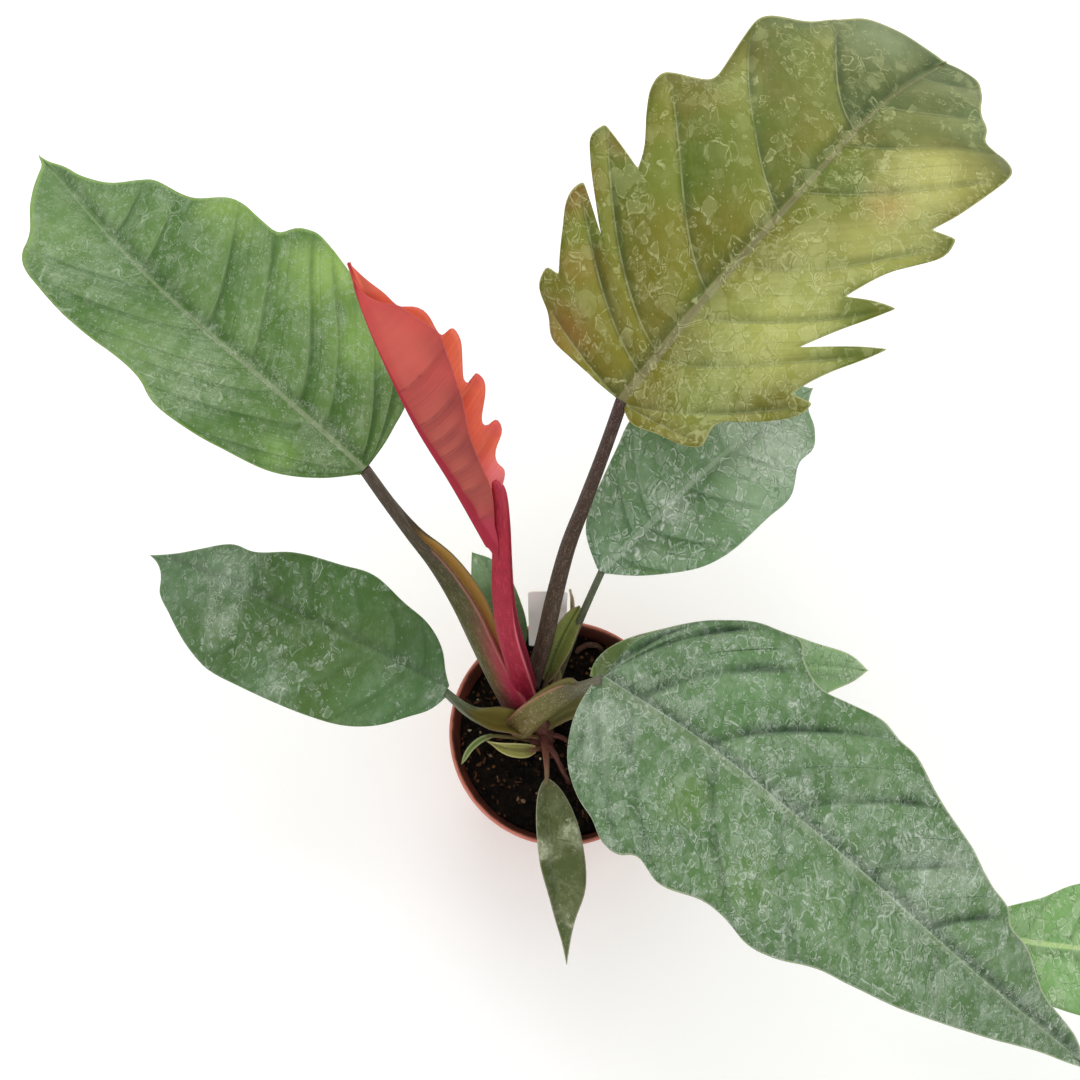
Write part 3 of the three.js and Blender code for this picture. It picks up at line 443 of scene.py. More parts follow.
def veinStarts(blade, side, length):
    # where on the midrib the side vein starts that ends at each edge point
    outline = blade[side]
    atStalk, atTip = blade["lean"][0 if side == "left" else 1]
    starts = []
    start = 0.0
    for along, out in outline:
        lean = lerp(atStalk, atTip, clamp(along / length))
        wanted = along - lean * (out / bladeMake["bendWidth"]) ** bladeMake["veinPower"]
        start = max(start, clamp(wanted, 0, length))
        starts.append(start)
    return starts + [length]


def edgeTangent(keys, k):
    # the way the edge runs through one of its points, and how smoothly it does
    if k == 0 or k == len(keys) - 1:
        return Vector((0, 0)), 0.0
    before, after = (keys[k] - keys[k - 1]).normalized(), (keys[k + 1] - keys[k]).normalized()
    both = before + after
    return both.normalized() if both.length > 0.01 else after, smooth(-0.1, 0.75, before.dot(after))


def edgePoint(keys, position):
    # the cut edge: a smooth line through its points that keeps the sharp corners
    k = min(int(position), len(keys) - 2)
    part = position - k
    span = (keys[k + 1] - keys[k]).length
    way1, soft1 = edgeTangent(keys, k)
    way2, soft2 = edgeTangent(keys, k + 1)
    s2, s3 = part * part, part ** 3
    return (keys[k] * (2 * s3 - 3 * s2 + 1) + way1 * (span * soft1 * (s3 - 2 * s2 + part))
            + keys[k + 1] * (3 * s2 - 2 * s3) + way2 * (span * soft2 * (s3 - s2)))


def rowPositions(keys, veins, rows):
    # spreads the rows evenly along the edge, with one on every edge point and every vein
    stops = sorted(set(range(len(keys))) | set(veins))
    spans = [(edgePoint(keys, b) - edgePoint(keys, a)).length for a, b in zip(stops, stops[1:])]
    counts = [1] * len(spans)
    while sum(counts) < rows:
        widest = max(range(len(spans)), key=lambda k: spans[k] / counts[k])
        counts[widest] += 1
    positions = []
    for (a, b), count in zip(zip(stops, stops[1:]), counts):
        positions += [lerp(a, b, k / count) for k in range(count)]
    return positions + [stops[-1]]


def planHalf(blade, side, length, rows):
    keys = [Vector(p) for p in blade[side]] + [Vector((length, 0))]
    starts = veinStarts(blade, side, length)
    veins = blade["veins"][0 if side == "left" else 1]
    positions = rowPositions(keys, veins, rows)
    edge = [edgePoint(keys, p) for p in positions]
    for _ in range(bladeMake["edgeSmoothing"]):
        between = [(a + b * 2 + c) / 4 for a, b, c in zip(edge, edge[1:], edge[2:])]
        edge = [edge[0]] + between + [edge[-1]]
    begins = [sample(starts, p) for p in positions]
    veinRows = [positions.index(v) for v in veins]
    return {"edge": edge, "begins": begins, "veinRows": veinRows, "rows": len(positions) - 1}


def veinDistances(half, along, out):
    # signed distance to the nearest side veins on the stalk side and on the tip side
    power = bladeMake["veinPower"]
    before, after = -bladeMake["veinReach"], bladeMake["veinReach"]
    for row in half["veinRows"]:
        edge, begin = half["edge"][row], half["begins"][row]
        if edge.y < 0.5:
            continue
        share = max(out, 0.01) / edge.y
        place = begin + (edge.x - begin) * share ** power
        slope = (edge.x - begin) * power * share ** (power - 1) / edge.y
        distance = (along - place) / math.hypot(1, slope)
        if distance >= 0:
            before = max(before, -distance)
        else:
            after = min(after, -distance)
    return before, after


def bladePoint(blade, spine, face, side, along, out):
    place, normal, across = spineFrame(spine, face, along)
    index = 0 if side == "left" else 1
    bend = bladeMake["bendWidth"]
    halfBend = math.radians(blade["curl"][index]) * out / bend / 2
    chord = out if halfBend == 0 else out * math.sin(halfBend) / halfBend
    angle = math.radians(blade["fold"][index]) + halfBend
    height, length = blade["ripple"]
    wave = math.sin(2 * math.pi * along / length + index * bladeMake["rippleShift"])
    lift = chord * math.sin(angle) + height * (out / bend) ** 2 * wave
    sign = -1 if side == "left" else 1
    up = angle + halfBend
    faceUp = normal * math.cos(up) - across * (sign * math.sin(up))
    return place + across * (sign * chord * math.cos(angle)) + normal * lift, faceUp


def bladeSheet(blade, detail=1.0):
    # the upper face of a blade as a grid, with what its material needs to know at each point
    spine = readSpine(blade["spine"])
    face = Vector(blade["face"]).normalized()
    length = spine["length"]
    sides = ("left", "right")
    outlines = [[Vector(point) for point in blade[side]] for side in sides]
    reach = max(sum((b - a).length for a, b in zip(line, line[1:])) for line in outlines)
    rows = max(int(reach / bladeMake["rowGap"] * detail), max(len(line) for line in outlines) + 14)
    halves = {side: planHalf(blade, side, length, rows) for side in sides}
    columns = max(6, int(bladeMake["columns"] * detail))
    relief = {**plainRelief, **blade.get("relief", {})}
    ruffleShift = noise.noise(Vector((length, 3.1, 7.7))) * 10  # no two blades ruffle alike
    bm = bmesh.new()
    measures = ("rib", "vein", "edge", "along", "share", "out", "lane")
    layers = {key: bm.verts.layers.float.new(key) for key in measures}
    layers["up"] = bm.verts.layers.float_vector.new("up")
    for vert, column, row in gridPoints(bm, 2 * columns, halves["left"]["rows"]):
        side = "left" if column < columns else "right"
        half = halves[side]
        share = (abs(column - columns) / columns) ** bladeMake["columnPower"]
        edge = half["edge"][row]
        begin = half["begins"][row]
        if column == columns:
            begin = (halves["left"]["begins"][row] + halves["right"]["begins"][row]) / 2
        along = begin + (edge.x - begin) * share ** bladeMake["veinPower"]
        out = edge.y * share
        point, faceUp = bladePoint(blade, spine, face, side, along, out)
        before, after = veinDistances(half, along, out)
        gap = after - before
        phase = clamp(-before / gap) if gap > 0 else 0
        pleat = min(relief["most"], gap * relief["pleat"]) * math.sin(math.pi * phase) ** 0.8
        pleat -= relief["most"] * 0.4
        settle = smooth(0.05, 0.3, share) * (1 - 0.6 * smooth(0.7, 1, share))
        ribWidth = lerp(2.0, 0.9, clamp(along / length))
        ridge = math.exp(-(out / ribWidth) ** 2) - 0.8 * math.exp(-(out / ribWidth / 2.6) ** 2)
        crinkle = noise.noise(Vector((along * 0.09 + ruffleShift, out * 0.05, 0)))
        lift = pleat * settle + relief["ridge"] * ridge + relief["ruffle"] * smooth(0.6, 1, share) * crinkle
        vert.co = (point + faceUp * lift) * mm
        vert[layers["rib"]] = out
        vert[layers["vein"]] = -before if -before < after else -after
        vert[layers["edge"]] = edge.y * (1 - share)
        vert[layers["along"]] = along
        vert[layers["share"]] = clamp(along / length)
        vert[layers["out"]] = out if side == "right" else -out
        vert[layers["lane"]] = phase
        vert[layers["up"]] = faceUp
    bmesh.ops.remove_doubles(bm, verts=bm.verts, dist=0.00002)
    bmesh.ops.dissolve_degenerate(bm, dist=0.00001, edges=bm.edges)
    bm.normal_update()
    upward = sum((f.normal * f.calc_area() for f in bm.faces), Vector())
    middle = bladePoint(blade, spine, face, "left", length / 2, 1)[1]
    if upward.dot(middle) < 0:
        bmesh.ops.reverse_faces(bm, faces=bm.faces)
    return bm, layers, spine


def thickenBlade(bm, layers, blade, length):
    # raises a second face from the first and lowers the first, with the midrib standing out below
    lower, lowered = list(bm.faces), list(bm.verts)
    bmesh.ops.extrude_face_region(bm, geom=lower, use_keep_orig=True)
    for vert in lowered:
        part = clamp(vert[layers["along"]] / length)
        thick = bladeMake["thickness"] * smooth(-0.4, 1.2, vert[layers["edge"]])
        rib = lerp(*blade["rib"], part) * math.exp(-(vert[layers["rib"]] / lerp(2.4, 1.0, part)) ** 2)
        vert.co -= vert[layers["up"]] * ((thick + rib) * mm)
    for underFace in lower:
        underFace.material_index = 1
    bmesh.ops.reverse_faces(bm, faces=lower)


# What a blade looks like where its own look doesn't say. ribHalf: half width of the midrib at stalk
# and tip. veinLine: strength of the pale vein lines. fold: the painted shade beside them (strength,
# width, side). lane: the painted lit strip between two veins. ribShade, ribSide: painted shade along
# one side of the midrib. foldColor: the colour of the painted shade and of the faint nerves.
# ribMask: how plainly the midrib shows. ribLine: a light line on its left. sides: strength of the
# veins left and right. marginWidth, marginStart: the pale edge, in mm, and the share of the length by
# which it shows in full. cracks: how dark the painted shade lines around dried drops are. chalk:
# the colour of the dried drops.
plainLook = {"ribHalf": (1.2, 0.4), "veinLine": 0.3, "fold": (0.3, 4.0, -1), "foldColor": "#1e2c16",
             "lane": (0.2, "#8fa070"), "ribShade": 0.3, "ribSide": 1.0, "ribMask": 0.9, "ribLine": 0.0,
             "sides": (1.0, 1.0), "marginWidth": 0.9, "marginStart": 0.0, "cracks": 0.8,
             "chalk": "#bcc8b2"}
leafShine = {"roughness": 0.45, "chalkRoughness": 0.7, "gloss": 0.14, "bump": 0.0003}
# Dried hard water. rimShare, rimMost: how far inside a drop's edge its light rim lies, as a share of
# its size and at most in mm. stretch: the marks run longer along the photograph's upright. The rest
# are the scales of specks, film, crust and its grain.
residueMake = {"rimShare": 0.13, "rimMost": 0.45, "stretch": (1.0, 0.72, 1.0), "specks": 760,
               "film": 150, "crust": 52, "grain": 420}


def driedDrops(tree, place, near, size, share, fill, jagged):
    # marks of dried drops, size mm apart: a thin light rim, a faint inside and a painted shade line around
    moved = wander(tree, place, 850 / size, size * 0.001 * jagged)
    border = cells(tree, moved, 1000 / size, "DISTANCE_TO_EDGE").outputs["Distance"]
    gap = times(tree, border, float(size))
    tints = cells(tree, moved, 1000 / size).outputs["Color"]
    chance = addNode(tree, "ShaderNodeSeparateColor", {0: tints})
    crowd = calc(tree, "ADD", mottle(tree, place, 26, 3.0).outputs["Fac"], times(tree, near, 0.3))
    chosen = calc(tree, "ADD", times(tree, chance.outputs[0], 0.7), crowd)
    chosen = fade(tree, chosen, 1.2 - 0.7 * share, 1.25 - 0.7 * share)
    worn = fade(tree, mottle(tree, place, 2200 / size, 3.0).outputs["Fac"], 0.36, 0.62, 0.1, 1)
    inset = min(residueMake["rimMost"], size * residueMake["rimShare"])
    offRim = calc(tree, "ABSOLUTE", calc(tree, "SUBTRACT", gap, inset))
    line = fade(tree, offRim, inset * 0.2, inset * 0.9, 1, 0)
    rim = times(tree, line, worn, fade(tree, chance.outputs[2], 0.0, 1.0, 0.35, 1))
    inside = times(tree, fade(tree, gap, inset, inset * 1.8),
                   fade(tree, chance.outputs[1], 0.2, 1.0, 0, fill))
    around = times(tree, fade(tree, gap, inset * 0.2, inset * 0.7, 1, 0), worn)
    return times(tree, calc(tree, "MAXIMUM", rim, inside), chosen), times(tree, around, chosen)


def residueMask(tree, blade, place, along, out, streak):
    # dried hard water: marks of drops, specks and a thin uneven film, denser where it gathers
    residue = blade.get("residue", clean)
    near = 0.0
    for spot in residue.get("gather", []):
        near = calc(tree, "MAXIMUM", patchShare(tree, place, along, out, *spot, 1.0), near)
    place = addNode(tree, "ShaderNodeVectorMath", {0: place, 1: residueMake["stretch"]},
                    operation="MULTIPLY").outputs[0]
    light, dark = 0.0, 0.0
    for size, share, fill in residue["drops"]:
        mark, around = driedDrops(tree, place, near, size, share, fill, residue.get("jagged", 1.0))
        light, dark = calc(tree, "MAXIMUM", mark, light), calc(tree, "MAXIMUM", around, dark)
    dots = cells(tree, place, residueMake["specks"])
    pick = addNode(tree, "ShaderNodeSeparateColor", {0: dots.outputs["Color"]}).outputs[0]
    speck = times(tree, fade(tree, dots.outputs["Distance"], 0.08, 0.34, 0.8, 0),
                  fade(tree, pick, 1.0 - residue["specks"] * 0.6, 1.1 - residue["specks"] * 0.6))
    light = calc(tree, "MAXIMUM", light, speck)
    film = mottle(tree, wander(tree, place, 260, 0.004), residueMake["film"], 7.0, 0.8).outputs["Fac"]
    film = fade(tree, calc(tree, "ADD", film, times(tree, near, 0.12)), 0.4, 0.72, 0, residue["haze"])
    combed = residue.get("combed", 0.0)
    film = times(tree, film, fade(tree, streak, 0.3, 0.68, 1 - combed, 1 + combed))
    crust = mottle(tree, place, residueMake["crust"], 7.0, 0.7).outputs["Fac"]
    crust = calc(tree, "ADD", crust, times(tree, near, 0.2))
    crust = fade(tree, crust, 0.6, 0.76, 0, residue["crust"])
    grain = mottle(tree, place, residueMake["grain"], 4.0, 0.7).outputs["Fac"]
    crust = times(tree, crust, fade(tree, grain, 0.34, 0.62, 0.25, 1))
    # the second value is the painted shade line around the drops
    return calc(tree, "ADD", light, calc(tree, "ADD", film, crust)), dark


def patchShare(tree, place, along, out, centreAlong, centreOut, size, strength):
    # how much of a soft uneven patch shows at a place on the blade
    da = calc(tree, "SUBTRACT", along, float(centreAlong))
    do = calc(tree, "SUBTRACT", out, float(centreOut))
    far = calc(tree, "SQRT", calc(tree, "ADD", times(tree, da, da), times(tree, do, do)))
    uneven = times(tree, mottle(tree, place, 45, 3.0).outputs["Fac"], size * 0.9)
    return fade(tree, calc(tree, "ADD", far, uneven), size * 0.5, size * 1.45, strength, 0)


def veinMarks(tree, look, color, underside):
    # side veins: a thin pale line with painted shade on one side and a painted lit strip between veins;
    # painted shade along one side of the midrib; the midrib, and the edge
    share, out, rib = measure(tree, "share"), measure(tree, "out"), measure(tree, "rib")
    vein, edge, lane = measure(tree, "vein"), measure(tree, "edge"), measure(tree, "lane")
    strength, width, side = look["fold"]
    across = times(tree, vein, float(side))
    broken = fade(tree, mottle(tree, objectPlace(tree), 38, 3.0).outputs["Fac"], 0.36, 0.62, 0.3, 1.15)
    shaded = times(tree, fade(tree, across, -0.9, 0.1), fade(tree, across, 0.3, width, 1, 0), broken)
    ends = times(tree, fade(tree, rib, 0.5, 5.0), fade(tree, edge, 0.0, 9.0))
    ends = times(tree, ends, fade(tree, out, -2.0, 2.0, *look["sides"]))
    # painted shade beside each side vein, on one side of it
    color = blend(tree, times(tree, shaded, ends, strength), color, paint(look["foldColor"]))
    # painted light: a lit strip between two veins
    litStrength, litColor = look["lane"]
    lit = fade(tree, lane, 0.15, 0.95) if side > 0 else fade(tree, lane, 0.05, 0.85, 1, 0)
    color = blend(tree, times(tree, lit, ends, litStrength), color, paint(litColor))
    line = times(tree, fade(tree, calc(tree, "ABSOLUTE", vein), 0.1, 0.55, 1, 0),
                 fade(tree, edge, 0.0, 14.0), fade(tree, out, -2.0, 2.0, *look["sides"]))
    uneven = fade(tree, mottle(tree, objectPlace(tree), 150, 2.0).outputs["Fac"], 0.3, 0.6, 0.35, 1)
    lineColor = look.get("underVein", look["vein"]) if underside else look["vein"]
    color = blend(tree, times(tree, line, uneven, look["veinLine"]), color, paint(lineColor))
    if not underside:
        # painted shade along one side of the midrib
        away = times(tree, out, look["ribSide"])
        beside = times(tree, fade(tree, away, 1.0, 2.2), fade(tree, away, 2.2, 8.0, 1, 0), look["ribShade"])
        color = blend(tree, beside, color, paint(look["foldColor"]))
    atStalk, atTip = look["ribHalf"]
    outside = calc(tree, "SUBTRACT", rib, fade(tree, share, 0.0, 1.0, atStalk, atTip))
    color = blend(tree, fade(tree, outside, -0.35, 0.35, look["ribMask"], 0), color, paint(look["rib"]))
    if look["ribLine"] and not underside:
        inked = times(tree, fade(tree, calc(tree, "ABSOLUTE", outside), 0.1, 0.5, look["ribLine"], 0),
                      fade(tree, out, -0.4, 0.0, 1, 0))
        color = blend(tree, times(tree, inked, uneven), color, paint(look["chalk"]))
    margin = fade(tree, edge, 0.2, look["marginWidth"], 0.75, 0)
    if look["marginStart"]:
        margin = times(tree, margin, fade(tree, share, 0.05, look["marginStart"]))
    color = blend(tree, margin, color, paint(look["margin"]))
    # the second value thins the chalk where the painted vein shade lies
    return color, fade(tree, times(tree, shaded, ends), 0.0, 1.0, 1, 0.35)


def leafMaterials(name, blade):
    look = {**plainLook, **blade["look"]}
    made = []
    for underside in (False, True):
        material, tree, shader = newMaterial(name + ("_lower_face" if underside else "_upper_face"),
                                             leafShine["roughness"], leafShine["gloss"])
        place = objectPlace(tree)
        share, along, out = measure(tree, "share"), measure(tree, "along"), measure(tree, "out")
        # fine nerves run out between the side veins
        nerves = addNode(tree, "ShaderNodeCombineXYZ", {0: times(tree, measure(tree, "lane"), 16.0),
                                                        1: times(tree, measure(tree, "rib"), 0.035)})
        streak = mottle(tree, nerves.outputs[0], 1.0, 2.0).outputs["Fac"]
        cloud = mottle(tree, place, 24, 4.0).outputs["Fac"]
        if underside:
            under = look["under"]
            color = blend(tree, cloud, paint(under), paint(look.get("underSecond", look["body"])))
            color = blend(tree, fade(tree, share, 0.3, 0.95), color, paint(look.get("underTip", under)))
        else:
            color = blend(tree, fade(tree, cloud, 0.38, 0.64), paint(look["body"]), paint(look["second"]))
            color = blend(tree, fade(tree, share, 0.28, 0.0), color, paint(look["stalkEnd"]))
            color = blend(tree, fade(tree, share, 0.55, 1.0), color, paint(look["tip"]))
        for *spot, code, strength in blade.get("lowerPatches" if underside else "patches", []):
            shown = patchShare(tree, place, along, out, *spot, strength)
            color = blend(tree, shown, color, paint(code))
        color = blend(tree, fade(tree, streak, 0.3, 0.7, 0.14, 0), color, paint(look["foldColor"]))
        color, shadeThinsChalk = veinMarks(tree, look, color, underside)
        height = times(tree, streak, 0.5)
        if not underside:
            strength = blade.get("residue", clean)["strength"]
            chalk, around = residueMask(tree, blade, place, along, out, streak)
            chalk = times(tree, chalk, shadeThinsChalk)
            # painted shade: dark lines around the dried drops
            cracks = times(tree, around, strength, look["cracks"])
            color = blend(tree, cracks, color, paint(look["foldColor"]))
            color = blend(tree, times(tree, chalk, strength), color, paint(look["chalk"]))
            rough = fade(tree, chalk, 0.0, 0.8, leafShine["roughness"], leafShine["chalkRoughness"])
            tree.links.new(rough, shader.inputs["Roughness"])
            height = calc(tree, "ADD", height, times(tree, chalk, 0.4))
        tree.links.new(color, shader.inputs["Base Color"])
        addBump(tree, shader, height, leafShine["bump"])
        made.append(material)
    return made


def buildBlade(name, blade):
    bm, layers, spine = bladeSheet(blade)
    thickenBlade(bm, layers, blade, spine["length"])
    finishPiece(name + "_leaf", bm, leafMaterials(name, blade), name, blade["slot"])


for bladeName, bladeData in bladePieces.items():
    buildBlade(bladeName, bladeData)
print("large blades made")


# Stalks: tapered rods whose two edges rise into an open sheath where wing is above 0.
# path: x, y, z, radius, wing, spread, where the last two are left out if 0. colors: share of the
# length from the foot, and colour. edge, inner: colours of the sheath's edges and of its inside.
# flush: colour, the share of the length below which it shows, and the share around where it begins.
stalkPieces = {
    "red_stalk": {
        "slot": "crimson_stalk", "face": (0.9, 0.1, 0.4),
        "path": [(-17.5, 14.4, 100, 4.4, 3, -0.3), (-21.2, 22.3, 128, 3.8, 3.2, 0.1),
                 (-24.8, 31.7, 152, 3.5, 3, 0.2), (-25.8, 40.5, 174, 3.3, 2.6, 0.1),
                 (-25.6, 48.9, 190, 3, 2.2, 0), (-25.4, 59, 205, 2.7, 1.8, 0),
                 (-25.6, 67, 216, 2.2, 1.2, 0), (-27, 70.5, 221, 1.2, 0.2, 0)],
        "colors": [(0, "#84182f"), (0.25, "#9c1c34"), (0.7, "#a22236"), (1, "#c84a5c")],
        "edge": "#dc7880", "inner": "#7e1c34", "speckle": ("#c96a78", 0.12),
        "streaks": ("#6e1024", "#c44a58"),
    },
    "upper_left_stalk": {
        "slot": "grey_brown_stalk", "face": (0.8, 0.1, 0.5),
        "path": [(-22.4, 11.1, 97, 5.2, 4.5, -0.3), (-28.4, 19.9, 111, 5, 4.5, -0.1),
                 (-35.8, 32.2, 127, 4.6, 4.8, 0.1), (-43.4, 44, 147, 4, 5.5, 0.2),
                 (-52, 54.1, 166, 3.2, 4.5, 0.2), (-61, 62.2, 183, 2.7, 1.5, 0), (-69, 70, 199, 2.5),
                 (-76, 77, 214.5, 2.3)],
        "colors": [(0, "#6a3a3a"), (0.06, "#5c4030"), (0.18, "#525026"), (0.45, "#4a4a26"),
                   (0.65, "#443c2c"), (1, "#50443a")],
        "edge": "#a8685c", "inner": "#bd9850", "flush": ("#b02a4c", 0.5, 0.32),
        "speckle": ("#8f8670", 0.35),
    },
    "upper_right_stalk": {
        "slot": "brown_stalk", "face": (0.2, -0.6, 0.8),
        "path": [(-13.5, 19.3, 99, 4), (-8.2, 31.7, 122, 3.9), (-4, 45.6, 145, 3.7),
                 (1.4, 60.5, 170, 3.3), (8.1, 72.9, 192, 2.9), (14.8, 85.9, 213, 2.6),
                 (20.6, 98.6, 230, 2.5)],
        "colors": [(0, "#46322c"), (0.3, "#4a3b2c"), (0.6, "#44332a"), (1, "#402b28")], "edge": "#51433b",
        "speckle": ("#8c7f72", 0.5),
    },
    "lower_right_stalk": {
        "slot": "olive_stalk", "face": (-0.35, 0.75, 0.55),
        "path": [(-18.6, -2, 99, 4.8, 3.5, 0), (-9.9, 2.4, 119, 4.5, 3.5, 0), (-1.1, 6, 133, 3.8, 3.2, 0),
                 (4.6, 7.6, 139.6, 3.2, 2.6, 0), (6.8, 8.1, 142, 2.7, 0.2, 0), (15.4, 9.8, 150.2, 2.2)],
        "colors": [(0, "#6a5a34"), (0.3, "#66602e"), (0.6, "#555036"), (1, "#6a6858")], "edge": "#a8705c",
        "inner": "#77703a", "speckle": ("#a8a488", 0.5),
    },
    "left_stalk": {
        "slot": "olive_stalk", "face": (0.1, 0.1, 1),
        "path": [(-14, -2, 92, 3, 3.2, 0.3), (-24, -0.4, 102, 2.8, 4.4, 0.6),
                 (-33.9, 0.6, 109, 2.6, 4, 0.7), (-41.4, 3.5, 116, 2.2, 1.6, 0.4), (-50, 9.8, 125, 1.8)],
        "colors": [(0, "#6a4538"), (0.25, "#6a5436"), (0.6, "#58593a"), (1, "#5b6650")],
        "edge": "#a87a62", "inner": "#766c2e", "speckle": ("#8f9478", 0.3),
    },
    "rear_right_stalk": {
        "slot": "grey_brown_stalk", "face": (0, -0.6, 0.8),
        "path": [(-3.5, 17, 88, 2), (-2, 22, 96, 2), (4.1, 34.9, 117, 1.8), (10, 44.7, 140, 1.6),
                 (15.4, 53, 160, 1.5)],
        "colors": [(0, "#54483a"), (0.5, "#53533c"), (1, "#5b6650")], "edge": "#53533c",
        "speckle": ("#8f9282", 0.35),
    },
    "far_right_stalk": {
        "slot": "olive_stalk", "face": (0, 0, 1),
        "path": [(-7, 1.5, 91, 2.8, 2, 0.2), (3.5, 7.6, 95, 2.8, 4, 0.6), (16.9, 8, 97, 2.4, 4.5, 0.6),
                 (43, -4, 97, 2, 1, 0.2), (91, -33, 95, 1.8), (137, -66, 92, 1.6), (172.5, -87, 88, 1.4)],
        "colors": [(0, "#6a5a3c"), (0.12, "#77704a"), (0.3, "#6b6b42"), (1, "#6b7a48")],
        "edge": "#a8745c", "inner": "#7f7c4a", "speckle": ("#a09a7c", 0.25),
    },
    "low_right_stalk": {
        "slot": "olive_stalk", "face": (0, 0, 1),
        "path": [(-5.5, 11, 88, 1.8), (2, 15, 98, 1.7), (8, 17, 106, 1.5), (16, 18, 112, 1.3)],
        "colors": [(0, "#5c4c38"), (1, "#64704a")], "edge": "#64704a", "speckle": ("#8f9478", 0.3),
    },
}
stalkMake = {"stations": 8, "around": 48, "fullWing": 3.0, "roughness": 0.48, "gloss": 0.2,
             "bump": 0.00025, "streaks": ("#2c241c", "#8a7c6a")}
rodFace = Vector((0, 1, 0.1)).normalized()  # where the open side of a plain rod would look


def stalkSection(radius, wing, spread):
    # the outline of a rod, or of a channel with two thin raised edges; then, for each of its points,
    # how near it is to such an edge and whether it lies inside the channel
    opened = min(1.0, wing / stalkMake["fullWing"])
    rounded = [Vector((radius * math.cos(a), radius * math.sin(a)))
               for a in (math.radians(turn) for turn in (-90, -67.5, -45, -22.5, 0))]
    tip = Vector((radius * lerp(0.72, 0.95, opened) + spread * wing, radius * 0.7 + wing))
    inner = Vector((tip.x - 0.35 * radius - 0.5 * opened, lerp(radius * 0.93, tip.y - 0.4, opened)))
    floor = Vector((0, radius * lerp(1, 0.25, opened)))
    half = rounded[1:] + [tip, inner]
    mirrored = [Vector((-p.x, p.y)) for p in reversed(half)]
    nearEdge = [0, 0, 0, 0, 0, opened, opened * 0.3, 0, opened * 0.3, opened, 0, 0, 0, 0]
    within = [0, 0, 0, 0, 0, 0, opened, opened, opened, 0, 0, 0, 0, 0]
    return [rounded[0]] + half + [floor] + mirrored, nearEdge, within


def sweepRod(path, face, stations, around):
    # a closed rod along its path of x, y, z, radius and, for a sheath, wing and spread
    rods = [Vector((*point, 0, 0)[:6]) for point in path]
    bm = bmesh.new()
    layers = {key: bm.verts.layers.float.new(key) for key in ("along", "around", "sheath", "within")}
    rows = (len(path) - 1) * stations
    places = [splinePoint(rods, k / rows * (len(rods) - 1)) for k in range(rows + 1)]
    centres = [Vector(p[:3]) for p in places]
    length = sum((b - a).length for a, b in zip(centres, centres[1:]))
    frames = []
    for k, centre in enumerate(centres):
        tangent = (centres[min(k + 1, rows)] - centres[max(k - 1, 0)]).normalized()
        normal = (face - tangent * face.dot(tangent)).normalized()
        radius, wing, spread = places[k][3:]
        keys, nearEdge, within = stalkSection(radius, max(wing, 0.0), spread)
        count = len(keys)
        ring = [splinePoint(keys, c / around * count % count, closed=True) for c in range(around)]
        turned = [0.0]
        for here, after in zip(ring, ring[1:] + ring[:1]):
            turned.append(turned[-1] + (after - here).length)
        frames.append((centre, normal, normal.cross(tangent), turned, keys, nearEdge, within))
    for vert, column, row in gridPoints(bm, around, rows):
        centre, normal, across, turned, keys, nearEdge, within = frames[row]
        position = column / around * len(keys)
        flat = splinePoint(keys, position % len(keys), closed=True)
        near = int(position) % len(keys)
        part = position - int(position)
        vert.co = (centre + across * flat.x + normal * flat.y) * mm
        vert[layers["along"]] = row / rows
        vert[layers["around"]] = turned[column] * (2 * math.pi * rods[0][3] / turned[-1])
        vert[layers["sheath"]] = lerp(nearEdge[near], nearEdge[(near + 1) % len(keys)], part)
        vert[layers["within"]] = lerp(within[near], within[(near + 1) % len(keys)], part)
    bmesh.ops.remove_doubles(bm, verts=bm.verts, dist=0.000005)
    bmesh.ops.holes_fill(bm, edges=openEdges(bm), sides=0)
    bmesh.ops.recalc_face_normals(bm, faces=bm.faces)
    return bm, length


